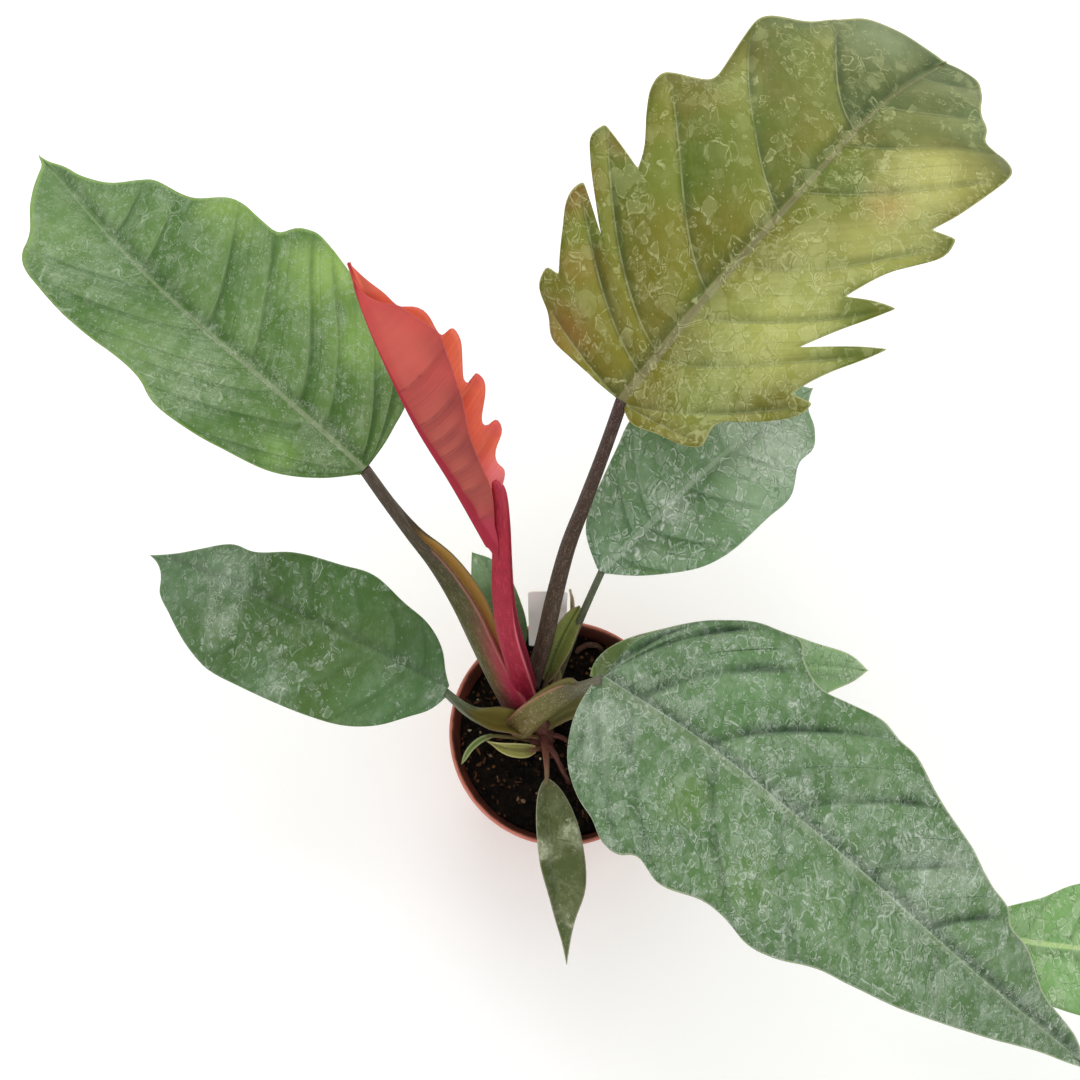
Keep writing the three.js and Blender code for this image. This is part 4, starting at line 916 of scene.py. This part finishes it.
def stalkMaterial(name, look, length):
    material, tree, shader = newMaterial(name, stalkMake["roughness"], stalkMake["gloss"])
    along, around, sheath = (measure(tree, key) for key in ("along", "around", "sheath"))
    ramp = addNode(tree, "ShaderNodeValToRGB", {0: along})
    stops = ramp.color_ramp.elements
    for k, (share, code) in enumerate(look["colors"]):
        stop = stops[k] if k < 2 else stops.new(share)
        stop.position = share
        stop.color = paint(code)
    mmAlong = times(tree, along, length)
    skin = addNode(tree, "ShaderNodeCombineXYZ", {0: around, 1: times(tree, mmAlong, 0.17)}).outputs[0]
    streak = mottle(tree, skin, 1.0, 3.0).outputs["Fac"]
    deep, pale = look.get("streaks", stalkMake["streaks"])
    color = blend(tree, fade(tree, streak, 0.5, 0.72, 0, 0.45), ramp.outputs[0], paint(deep))
    color = blend(tree, fade(tree, streak, 0.48, 0.3, 0, 0.3), color, paint(pale))
    skin = addNode(tree, "ShaderNodeCombineXYZ", {0: around, 1: times(tree, mmAlong, 0.45)}).outputs[0]
    dots = mottle(tree, skin, 1.9, 2.0).outputs["Fac"]
    code, amount = look["speckle"]
    dotted = fade(tree, dots, 0.62 - 0.1 * amount, 0.72 - 0.08 * amount, 0, amount)
    color = blend(tree, dotted, color, paint(code))
    within = fade(tree, measure(tree, "within"), 0.3, 0.9, 0, 0.85)
    color = blend(tree, within, color, paint(look.get("inner", look["edge"])))
    if "flush" in look:  # one side turns red towards the foot
        code, above, side = look["flush"]
        turn = 2 * math.pi * look["path"][0][3]
        flushed = times(tree, fade(tree, around, turn * (side - 0.2), turn * side),
                        fade(tree, along, above, above * 0.2))
        flushed = times(tree, flushed, fade(tree, around, turn * 0.6, turn * 0.62, 1, 0))
        color = blend(tree, flushed, color, paint(code))
    color = blend(tree, fade(tree, sheath, 0.8, 1.0, 0, 0.85), color, paint(look["edge"]))
    tree.links.new(color, shader.inputs["Base Color"])
    addBump(tree, shader, calc(tree, "ADD", streak, dots), stalkMake["bump"])
    return material


def buildStalk(name, stalk):
    face = Vector(stalk["face"]).normalized()
    bm, length = sweepRod(stalk["path"], face, stalkMake["stations"], stalkMake["around"])
    finishPiece(name + "_piece", bm, [stalkMaterial(name, stalk, length)], name, stalk["slot"])


for stalkName, stalkData in stalkPieces.items():
    buildStalk(stalkName, stalkData)
print("stalks made")


# Small leaves, each one piece with its stalk
smallLeaves = {
    "front_leaf": {
        "slot": "dark_green_leaf",
        "spine": [(-7, -25, 106), (-5, -44, 109), (-2, -70, 97), (2, -101, 64)], "face": (0, -0.3, 1),
        "fold": (14, 14), "curl": (-30, -30), "lean": ((30, 30), (30, 30)), "rib": (1.4, 0.6),
        "left": [(-1, 0.8), (0.5, 3), (4, 5.4), (10, 8), (18, 11), (34, 13), (48, 12), (65, 6), (83, 2)],
        "right": [(-1, 0.8), (0.5, 2.6), (4, 4.2), (12, 6), (26, 7), (36, 7), (48, 5), (65, 3), (80, 1)],
        "veins": ((4, 5, 6), (4, 5, 6)),
        "look": {"body": "#525c30", "second": "#49562c", "stalkEnd": "#585c38", "tip": "#4c5a28",
                 "margin": "#a09c84", "rib": "#59643a", "vein": "#586236", "under": "#7c8658",
                 "ribHalf": (0.5, 0.2), "veinLine": 0.05, "fold": (0.1, 3.0, -1), "marginWidth": 0.6,
                 "lane": (0.1, "#6a7444"), "ribMask": 0.3, "chalk": "#aeb294"},
        "residue": {"strength": 0.75, "drops": [(2.4, 0.1, 0.3)], "specks": 0.25, "haze": 0.4,
                    "crust": 0.9, "gather": [(24, -8, 10), (30, 6, 10), (68, -3, 6)]},
        "stalk": [(-8.5, -4, 92, 1.8), (-7.6, -11, 100, 1.6), (-7, -19, 105, 1.2), (-7, -27, 106.8, 0.8)],
        "stalkLook": {"colors": [(0, "#6d3a34"), (0.6, "#7a4a3c"), (1, "#756a4a")], "edge": "#756a4a",
                      "speckle": ("#a08a78", 0.3)},
    },
    "rear_left_leaf": {
        "slot": "green_leaf",
        "spine": [(-24, 27, 100), (-29, 44, 116), (-32, 59, 127), (-40, 72.5, 125)], "face": (0, -0.2, 1),
        "fold": (15, 15), "curl": (-25, -25), "lean": ((30, 30), (30, 30)), "rib": (1.4, 0.6),
        "left": [(1, 3), (7, 8), (19, 12), (38, 11), (51, 5)],
        "right": [(1, 3), (7, 9), (20, 13), (37, 11), (51, 5)], "veins": ((2, 3), (2, 3)),
        "look": {"body": "#5f8052", "second": "#577848", "stalkEnd": "#5a7a48", "tip": "#7c9a70",
                 "margin": "#66844a", "rib": "#71895a", "vein": "#60804e", "under": "#7c9060"},
        "residue": {"strength": 0.45, "drops": [(3.4, 0.3, 0.3)], "specks": 0.4, "haze": 0.35,
                    "crust": 0.2},
        "stalk": [(-15, 9, 72, 1.7), (-19, 17, 90, 1.5), (-24, 27, 100, 1.3), (-26, 32, 105, 1)],
        "stalkLook": {"colors": [(0, "#5c4638"), (1, "#5d6a42")], "edge": "#5d6a42",
                      "speckle": ("#909078", 0.3)},
    },
    "upright_leaf": {
        "slot": "yellow_green_leaf",
        "spine": [(-7, 20, 101), (-4, 28, 114), (1, 37, 124), (7, 46, 132)], "face": (-0.3, -1, 0.9),
        "fold": (30, 30), "curl": (30, 30), "lean": ((20, 20), (20, 20)), "rib": (1.2, 0.5),
        "left": [(0, 1.5), (10, 4.4), (22, 5.8), (34, 5.2), (42, 2.4)],
        "right": [(0, 1.5), (10, 4.8), (22, 6.4), (34, 5.6), (42, 2.8)], "veins": ((2,), (2,)),
        "look": {"body": "#7c843e", "second": "#6a7438", "stalkEnd": "#5c4c34", "tip": "#8a924c",
                 "margin": "#94825c", "rib": "#505a2c", "vein": "#5f6c38", "under": "#6a7040"},
        "stalk": [(-8, 12, 88, 1.6), (-8, 16, 95, 1.5), (-7, 20, 101, 1.2), (-6, 23, 106, 0.8)],
        "stalkLook": {"colors": [(0, "#5c4036"), (1, "#5c5436")], "edge": "#5c5436",
                      "speckle": ("#8a8068", 0.2)},
    },
    "yellow_leaf": {
        "slot": "yellow_green_leaf",
        "spine": [(-12, -10, 96), (-19, -11, 101), (-26, -10, 101), (-34, -6, 95)], "face": (0, -0.2, 1),
        "fold": (25, 25), "curl": (10, 10), "lean": ((20, 20), (20, 20)), "rib": (1, 0.4),
        "left": [(0, 1.5), (5, 3.6), (11, 3.6), (17, 2.2), (21, 1)],
        "right": [(0, 1.5), (5, 2.8), (11, 3), (17, 2), (21, 1)], "veins": ((2,), (2,)),
        "look": {"body": "#8e8c46", "second": "#98964e", "stalkEnd": "#8a6a4a", "tip": "#a0a05e",
                 "margin": "#c4ba80", "rib": "#6d6838", "vein": "#86824a", "under": "#8c8858"},
        "stalk": [(-8.5, -5.5, 88, 1.2), (-10.5, -8.5, 93, 1.1), (-12, -10, 96, 1), (-15, -10.8, 98, 0.8)],
        "stalkLook": {"colors": [(0, "#6d3f34"), (1, "#7c5f42")], "edge": "#7c5f42",
                      "speckle": ("#a08a70", 0.2)},
    },
    "narrow_leaf": {
        "slot": "green_leaf",
        "spine": [(-31, -4, 97), (-36, -6, 98), (-41, -10, 96), (-45, -16, 91)], "face": (0, -0.2, 1),
        "fold": (20, 20), "curl": (0, 0), "lean": ((20, 20), (20, 20)), "rib": (0.8, 0.4),
        "left": [(0, 0.8), (5, 1.2), (12, 1.3), (18, 0.9)],
        "right": [(0, 0.8), (5, 1.2), (12, 1.3), (18, 0.9)], "veins": ((2,), (2,)),
        "look": {"body": "#7f9048", "second": "#748640", "stalkEnd": "#78703c", "tip": "#72824a",
                 "margin": "#98a070", "rib": "#5c6a34", "vein": "#76844a", "under": "#808a54"},
        "stalk": [(-14.5, -5, 90, 0.9), (-22, -4.5, 95, 0.9), (-31, -4.2, 97, 0.8), (-34, -5, 98, 0.7)],
        "stalkLook": {"colors": [(0, "#6d5038"), (1, "#6f7440")], "edge": "#6f7440",
                      "speckle": ("#9a9670", 0.2)},
    },
}


plainSmallLeaf = {"ripple": (0, 30), "relief": {"pleat": 0.05, "most": 0.3, "ridge": 0.15}}
smallLeafMake = {"detail": 0.6, "stations": 6, "around": 18}


def buildSmallLeaf(name, leaf):
    leaf = {**plainSmallLeaf, **leaf}
    bm, layers, spine = bladeSheet(leaf, smallLeafMake["detail"])
    thickenBlade(bm, layers, leaf, spine["length"])
    rod, length = sweepRod(leaf["stalk"], rodFace, smallLeafMake["stations"], smallLeafMake["around"])
    for face in rod.faces:
        face.material_index = 2  # after the blade's upper and lower side
    rodMesh = bpy.data.meshes.new(name + "_rod")
    rod.to_mesh(rodMesh)
    rod.free()
    bm.from_mesh(rodMesh)
    bpy.data.meshes.remove(rodMesh)
    materials = leafMaterials(name, leaf) + [stalkMaterial(name + "_stalk", leaf["stalkLook"], length)]
    finishPiece(name + "_piece", bm, materials, name, leaf["slot"])


for leafName, leafData in smallLeaves.items():
    buildSmallLeaf(leafName, leafData)
print("small leaves made")


# Stem, dried sheath and roots: plain rods, x, y, z, radius
stemPieces = {
    "main_stem": {
        "slot": "stem",
        "path": [(-9, -3, 60, 5.5), (-9, -2, 80, 6.2), (-11, 1, 90, 6.4), (-14, 5, 97, 5.4)],
        "colors": [(0, "#4a2a22"), (0.6, "#5c3430"), (1, "#6a4438")], "speckle": ("#8f6a58", 0.4),
    },
    "dry_sheath": {
        "slot": "dry_sheath",
        "path": [(-4, 13, 84, 1.4), (-3, 17, 92, 1.8), (0, 31, 108, 1.7), (3.6, 42, 118, 1.4),
                 (4.2, 49, 127, 1.0), (3, 52, 136, 0.5)],
        "colors": [(0, "#6f5a40"), (0.5, "#9c8a66"), (1, "#c4b48e")], "speckle": ("#6a5238", 0.5),
    },
    "front_root": {
        "slot": "root",
        "path": [(-6, -6, 84, 1.4), (-3, -11, 85, 1.3), (0, -17, 83, 1.2), (3, -22, 78, 1.1),
                 (5, -26, 70, 1)],
        "colors": [(0, "#6a3a34"), (1, "#4c2a24")], "speckle": ("#8a5a4c", 0.4),
    },
    "side_root": {
        "slot": "root",
        "path": [(-4, -2, 86, 1.2), (0, -3, 85, 1.1), (4, -5, 80, 1), (6, -8, 70, 0.9)],
        "colors": [(0, "#6a3a34"), (1, "#4c2a24")], "speckle": ("#8a5a4c", 0.4),
    },
    "back_root": {
        "slot": "root",
        "path": [(5, 37, 71, 1.3), (8, 39, 79, 1.4), (13, 41, 81.5, 1.3), (18, 40, 80, 1.2),
                 (22, 37, 71, 1)],
        "colors": [(0, "#5a3a30"), (1, "#4a2e26")], "speckle": ("#7c5a4a", 0.4),
    },
}


rodMake = {"stations": 10, "around": 24, "uneven": 0.35, "unevenScale": 260}


def buildRod(name, rod):
    bm, length = sweepRod(rod["path"], rodFace, rodMake["stations"], rodMake["around"])
    for vert in bm.verts:
        shift = rodMake["uneven"] * mm * noise.noise(vert.co * rodMake["unevenScale"])
        vert.co += vert.normal * shift
    material = stalkMaterial(name, {"edge": rod["colors"][0][1], **rod}, length)
    finishPiece(name + "_piece", bm, [material], name, rod["slot"])


for rodName, rodData in stemPieces.items():
    buildRod(rodName, rodData)
print("stem and roots made")


# Pot: a thin tapered wall with a rolled lip and six drain holes
pot = {"height": 88, "rim": 51, "base": 37, "wall": 1.5, "floor": 3, "lip": 5, "overhang": 1.6,
       "holes": 6, "holeRadius": 4, "holeRing": 25, "drillDepth": 10, "steps": 120,
       # inside: painted shade on the inner wall, with the dirt laid over it
       "color": "#ad5a45", "second": "#b5644e", "inside": "#5c2a1d", "scuffedHighlight": "#c47462",
       "dirt": "#3a2018", "dirtShare": 0.75, "roughness": 0.48, "bump": 0.00012}
# In metres: between these heights the middle of the wall turns out by lipTurn, and between the second
# pair the lip gets a lighter colour: a painted highlight, broken up by scuffs.
potMarks = {"lipFrom": 0.080, "lipTo": 0.0872, "lipTurn": 0.0011, "lipLightFrom": 0.0865, "lipLightTo": 0.0878}


def potRadius(height):
    return lerp(pot["base"], pot["rim"] - pot["overhang"], height / pot["height"])


def buildPot():
    rim, top, floor, wall = pot["rim"], pot["height"], pot["floor"], pot["wall"]
    lipFoot = top - pot["lip"]
    outside = [(0, 0), (pot["base"] - 1, 0), (potRadius(0.4) - 0.3, 0.3), (potRadius(1), 1),
               (potRadius(lipFoot), lipFoot)]
    lip = [(rim - 0.6, lipFoot + 0.2), (rim - 0.2, lipFoot + 0.7), (rim, top - 1.2),
           (rim - 0.25, top - 0.4), (rim - 0.6, top), (rim - 1.2, top), (rim - 1.6, top - 0.4)]
    inside = [(potRadius(top - 6) - wall, top - 6), (potRadius(floor) - wall, floor), (0, floor)]
    bm = bmesh.new()
    corners = [bm.verts.new(Vector((r, 0, z)) * mm) for r, z in outside + lip + inside]
    edges = [bm.edges.new(pair) for pair in zip(corners, corners[1:])]
    bmesh.ops.spin(bm, geom=corners + edges, cent=(0, 0, 0), axis=(0, 0, 1), angle=2 * math.pi,
                   steps=pot["steps"], use_merge=True)
    bmesh.ops.remove_doubles(bm, verts=bm.verts, dist=0.00001)
    bmesh.ops.recalc_face_normals(bm, faces=bm.faces)
    drill = bmesh.new()
    radius = pot["holeRadius"] * mm
    for k in range(pot["holes"]):
        turn = 2 * math.pi * k / pot["holes"]
        place = Vector((math.cos(turn), math.sin(turn), 0)) * (pot["holeRing"] * mm)
        place.z = floor / 2 * mm
        bmesh.ops.create_cone(drill, cap_ends=True, segments=32, radius1=radius, radius2=radius,
                              depth=pot["drillDepth"] * mm, matrix=Matrix.Translation(place))
    drillMesh = bpy.data.meshes.new("drain_drill")
    drill.to_mesh(drillMesh)
    drill.free()
    drillPiece = bpy.data.objects.new("drain_drill", drillMesh)
    bpy.context.collection.objects.link(drillPiece)
    piece = finishPiece("nursery_pot", bm, [potMaterial()], "pot", "terracotta_plastic")
    cut = piece.modifiers.new("drain_holes", "BOOLEAN")
    cut.object = drillPiece
    cut.operation = "DIFFERENCE"
    cut.solver = "EXACT"
    shape = bpy.data.meshes.new_from_object(piece.evaluated_get(bpy.context.evaluated_depsgraph_get()))
    piece.modifiers.clear()
    piece.data = shape
    bpy.data.objects.remove(drillPiece)
    shape.set_sharp_from_angle(angle=math.radians(40))


def potMaterial():
    material, tree, shader = newMaterial("terracotta_plastic", pot["roughness"])
    place = objectPlace(tree)
    x, y, z = addNode(tree, "ShaderNodeSeparateXYZ", {0: place}).outputs
    radial = calc(tree, "SQRT", calc(tree, "ADD", times(tree, x, x), times(tree, y, y)))
    slope = (pot["rim"] - pot["overhang"] - pot["base"]) / pot["height"]
    wallAt = calc(tree, "ADD", times(tree, z, slope), (pot["base"] - pot["wall"] / 2) * mm)
    turnedOut = fade(tree, z, potMarks["lipFrom"], potMarks["lipTo"], 0, potMarks["lipTurn"])
    wallAt = calc(tree, "ADD", wallAt, turnedOut)
    inside = fade(tree, calc(tree, "SUBTRACT", radial, wallAt), -0.0004, 0.0004, 1, 0)
    cloud = mottle(tree, place, 30).outputs["Fac"]
    color = blend(tree, cloud, paint(pot["color"]), paint(pot["second"]))
    # painted shade: the inner wall is coloured darker than the outside
    color = blend(tree, inside, color, paint(pot["inside"]))
    # painted highlight along the lip, broken up by scuffs
    lip = fade(tree, z, potMarks["lipLightFrom"], potMarks["lipLightTo"])
    scuffs = fade(tree, mottle(tree, place, 140, 4.0).outputs["Fac"], 0.25, 0.6, 0.35, 1.0)
    color = blend(tree, times(tree, lip, scuffs), color, paint(pot["scuffedHighlight"]))
    dirt = fade(tree, mottle(tree, place, 90, 5.0, 0.7).outputs["Fac"], 0.42, 0.62, 0, pot["dirtShare"])
    color = blend(tree, times(tree, dirt, inside), color, paint(pot["dirt"]))
    tree.links.new(color, shader.inputs["Base Color"])
    addBump(tree, shader, mottle(tree, place, 700, 3.0).outputs["Fac"], pot["bump"])
    return material


buildPot()
print("pot made")


# Soil: a block with a crumbly top. tints: colours of the loose crumbs, from dark to light.
soil = {"level": 79, "relief": 1.1, "gap": 0.3, "rings": 52, "around": 190, "crumb": 1.5,
        "roughness": 0.9, "gloss": 0.12, "bump": 0.0007,
        "dark": "#0b0806", "brown": "#1d140e", "fleck": "#6a4526",
        "tints": [(0.0, "#18110c"), (0.5, "#2c1d13"), (0.72, "#4c3120"), (0.86, "#785034"),
                  (0.97, "#d9c9a4")]}
# Its loose crumbs. sizes: ranges of length, width and thickness in mm. tint: range of places in the
# soil's tints, and toDark: how strongly they keep to its lower end. facets: how finely each is made.
crumbs = {"seed": 11, "reach": 45.5, "uneven": 0.45, "unevenScale": 1400}
crumbKinds = [
    {"count": 620, "sizes": [(0.4, 1.3)] * 3, "tint": (0.0, 0.9), "toDark": 2, "facets": 1},
    {"count": 60, "sizes": [(1.5, 4.0), (0.4, 0.9), (0.2, 0.5)], "tint": (0.55, 0.88), "toDark": 1,
     "facets": 2},
    {"count": 14, "sizes": [(0.5, 0.9)] * 3, "tint": (0.98, 0.98), "toDark": 1, "facets": 2},
]


def soilHeight(x, y):
    roll = math.sin(x * 0.16 + 1) * math.cos(y * 0.13) + 0.6 * math.sin(x * 0.31 - y * 0.27)
    crumb = noise.fractal(Vector((x, y, 0)) * 0.22, 0.8, 2.1, 4)
    crumb += 0.5 * noise.noise(Vector((x, y, 9)) * 0.9)
    return soil["level"] + soil["relief"] * roll + soil["crumb"] * crumb


def buildSoil():
    def inner(height):
        return potRadius(height) - pot["wall"] - soil["gap"]

    bottom, shoulder = pot["floor"] + soil["gap"], soil["level"] - 2.5
    profile = [(0, bottom), (inner(bottom), bottom), (inner(shoulder), shoulder)]
    rings = [inner(soil["level"]) * (1 - k / soil["rings"]) for k in range(soil["rings"] + 1)]
    bm = bmesh.new()
    for vert, column, row in gridPoints(bm, soil["around"], len(profile) + len(rings) - 1):
        turn = 2 * math.pi * column / soil["around"]
        radius, height = profile[row] if row < len(profile) else (rings[row - len(profile)], None)
        x, y = radius * math.cos(turn), radius * math.sin(turn)
        vert.co = Vector((x, y, soilHeight(x, y) if height is None else height)) * mm
    bmesh.ops.remove_doubles(bm, verts=bm.verts, dist=0.000005)
    bmesh.ops.recalc_face_normals(bm, faces=bm.faces)
    finishPiece("potting_soil", bm, [soilMaterial("soil_block")], "soil", "soil")


def soilMaterial(name, tinted=False):
    material, tree, shader = newMaterial(name, soil["roughness"], soil["gloss"])
    place = objectPlace(tree)
    lighter = fade(tree, mottle(tree, place, 320, 4.0, 0.7).outputs["Fac"], 0.4, 0.68)
    color = blend(tree, lighter, paint(soil["dark"]), paint(soil["brown"]))
    if tinted:
        tint = addNode(tree, "ShaderNodeValToRGB", {0: measure(tree, "tint")})
        stops = tint.color_ramp.elements
        for share, code in soil["tints"]:
            stop = stops.new(share)
            stop.color = paint(code)
        stops.remove(stops[-1])  # the white one that a ramp begins with
        color = blend(tree, 0.75, color, tint.outputs[0])
    else:
        flecks = cells(tree, place, 420)
        pick = addNode(tree, "ShaderNodeSeparateColor", {0: flecks.outputs["Color"]}).outputs[0]
        fleck = times(tree, fade(tree, pick, 0.86, 0.94),
                      fade(tree, flecks.outputs["Distance"], 0.2, 0.45, 1, 0))
        color = blend(tree, fleck, color, paint(soil["fleck"]))
    tree.links.new(color, shader.inputs["Base Color"])
    addBump(tree, shader, mottle(tree, place, 900, 5.0, 0.7).outputs["Fac"], soil["bump"])
    return material


def buildCrumbs():
    rng = random.Random(crumbs["seed"])
    bm = bmesh.new()
    tint = bm.verts.layers.float.new("tint")
    for kind in crumbKinds:
        low, high = kind["tint"]
        for _ in range(kind["count"]):
            turn, radius = rng.uniform(0, 2 * math.pi), crumbs["reach"] * math.sqrt(rng.random())
            x, y = radius * math.cos(turn), radius * math.sin(turn)
            scale = Vector([rng.uniform(*size) for size in kind["sizes"]])
            shade = lerp(low, high, rng.random() ** kind["toDark"]) if high > low else low
            spot = Vector((x, y, soilHeight(x, y) + scale.z * 0.35)) * mm
            turned = Matrix.Rotation(rng.uniform(0, 2 * math.pi), 4, "Z")
            tilted = Matrix.Rotation(rng.uniform(-0.5, 0.5), 4, "Y")
            shape = Matrix.Translation(spot) @ turned @ tilted @ Matrix.Diagonal((*(scale * mm), 1))
            made = bmesh.ops.create_icosphere(bm, subdivisions=kind["facets"], radius=1, matrix=shape)
            for vert in made["verts"]:
                push = crumbs["uneven"] * noise.noise(vert.co * crumbs["unevenScale"])
                vert.co += (vert.co - spot) * push
                vert[tint] = shade
    finishPiece("soil_crumbs", bm, [soilMaterial("soil_crumbs", tinted=True)], slot="soil")


buildSoil()
buildCrumbs()
print("soil made")


# The blank label: a thin milky stake, leaning back a little
label = {"width": 17, "thickness": 0.8, "length": 83.5, "point": 12, "corner": 2.5, "softEdge": 0.2,
         "foot": (-6.6, 39, 58), "lean": 7.8, "color": "#fbf9f6", "second": "#ece8e2",
         "roughness": 0.35, "subsurface": 0.1, "subsurfaceReach": 0.002, "bump": 0.0001,
         "paintedGlow": 0.16}


def buildLabel():
    bm = bmesh.new()
    half, top = label["width"] / 2, label["length"]
    outline = [(0, 0), (half, label["point"]), (half, top), (-half, top), (-half, label["point"])]
    corners = [bm.verts.new(Vector((x, 0, z)) * mm) for x, z in outline]
    bm.faces.new(corners)
    upper = [v for v in corners if v.co.z > (top - 1) * mm]
    bmesh.ops.bevel(bm, geom=upper, offset=label["corner"] * mm, segments=5, profile=0.5,
                    affect="VERTICES", material=-1)
    bmesh.ops.solidify(bm, geom=bm.faces[:], thickness=label["thickness"] * mm)
    bmesh.ops.translate(bm, verts=bm.verts, vec=Vector((0, -label["thickness"] / 2, 0)) * mm)
    bmesh.ops.recalc_face_normals(bm, faces=bm.faces)
    sharp = [e for e in bm.edges if len(e.link_faces) == 2 and e.calc_face_angle(0) > 1.0]
    bmesh.ops.bevel(bm, geom=sharp, offset=label["softEdge"] * mm, segments=2, profile=0.5,
                    affect="EDGES", material=-1)
    lean = Matrix.Rotation(math.radians(-label["lean"]), 4, "X")
    stand = Matrix.Translation(Vector(label["foot"]) * mm) @ lean
    bmesh.ops.transform(bm, matrix=stand, verts=bm.verts)
    material, tree, shader = newMaterial("milky_label", label["roughness"])
    place = objectPlace(tree)
    cloudy = fade(tree, mottle(tree, place, 60, 4.0).outputs["Fac"], 0.3, 0.7)
    color = blend(tree, cloudy, paint(label["color"]), paint(label["second"]))
    tree.links.new(color, shader.inputs["Base Color"])
    shader.inputs["Subsurface Weight"].default_value = label["subsurface"]
    shader.inputs["Subsurface Scale"].default_value = label["subsurfaceReach"]
    shader.inputs["Emission Color"].default_value = paint(label["color"])  # painted glow: the label gives off a little light of its own, for daylight through thin plastic
    shader.inputs["Emission Strength"].default_value = label["paintedGlow"]
    addBump(tree, shader, mottle(tree, place, 500, 3.0).outputs["Fac"], label["bump"])
    finishPiece("blank_label", bm, [material], "plant_label", "label_plastic", smoothShade=False)


buildLabel()
print("label made")


# Studio: a pale floor, one broad soft light from behind the plant and a weaker one in front
studio = {"floor": "#fcfcfb", "floorSize": 6, "floorGlow": 0.07, "world": 0.9, "aim": (0, 0.05, 0.15),
          "keyPlace": (0.35, 1.2, 1.5), "keySize": 1.6, "keyPower": 14.0,
          "fillPlace": (-0.9, -0.9, 1.3), "fillSize": 1.8, "fillPower": 4.0}


def addLight(name, place, size, power):
    data = bpy.data.lights.new(name, "AREA")
    data.size = size
    data.energy = power
    light = bpy.data.objects.new(name, data)
    light.location = place
    view = Vector(studio["aim"]) - Vector(place)
    light.rotation_euler = view.to_track_quat("-Z", "Y").to_euler()
    bpy.context.collection.objects.link(light)


def addStudio():
    bm = bmesh.new()
    bmesh.ops.create_grid(bm, x_segments=1, y_segments=1, size=studio["floorSize"])
    mesh = bpy.data.meshes.new("studio_floor")
    bm.to_mesh(mesh)
    bm.free()
    floor = bpy.data.objects.new("studio_floor", mesh)
    bpy.context.collection.objects.link(floor)
    material, _, shader = newMaterial("studio_floor", 0.9)
    shader.inputs["Base Color"].default_value = paint(studio["floor"])
    shader.inputs["Emission Color"].default_value = (1, 1, 1, 1)
    shader.inputs["Emission Strength"].default_value = studio["floorGlow"]
    mesh.materials.append(material)
    world = bpy.data.worlds.new("studio_world")
    world.use_nodes = True
    background = world.node_tree.nodes["Background"]
    background.inputs["Color"].default_value = (1, 1, 1, 1)
    background.inputs["Strength"].default_value = studio["world"]
    bpy.context.scene.world = world
    bpy.context.scene.view_settings.view_transform = "Standard"
    addLight("key_light", studio["keyPlace"], studio["keySize"], studio["keyPower"])
    addLight("fill_light", studio["fillPlace"], studio["fillSize"], studio["fillPower"])


addStudio()
print("studio ready")
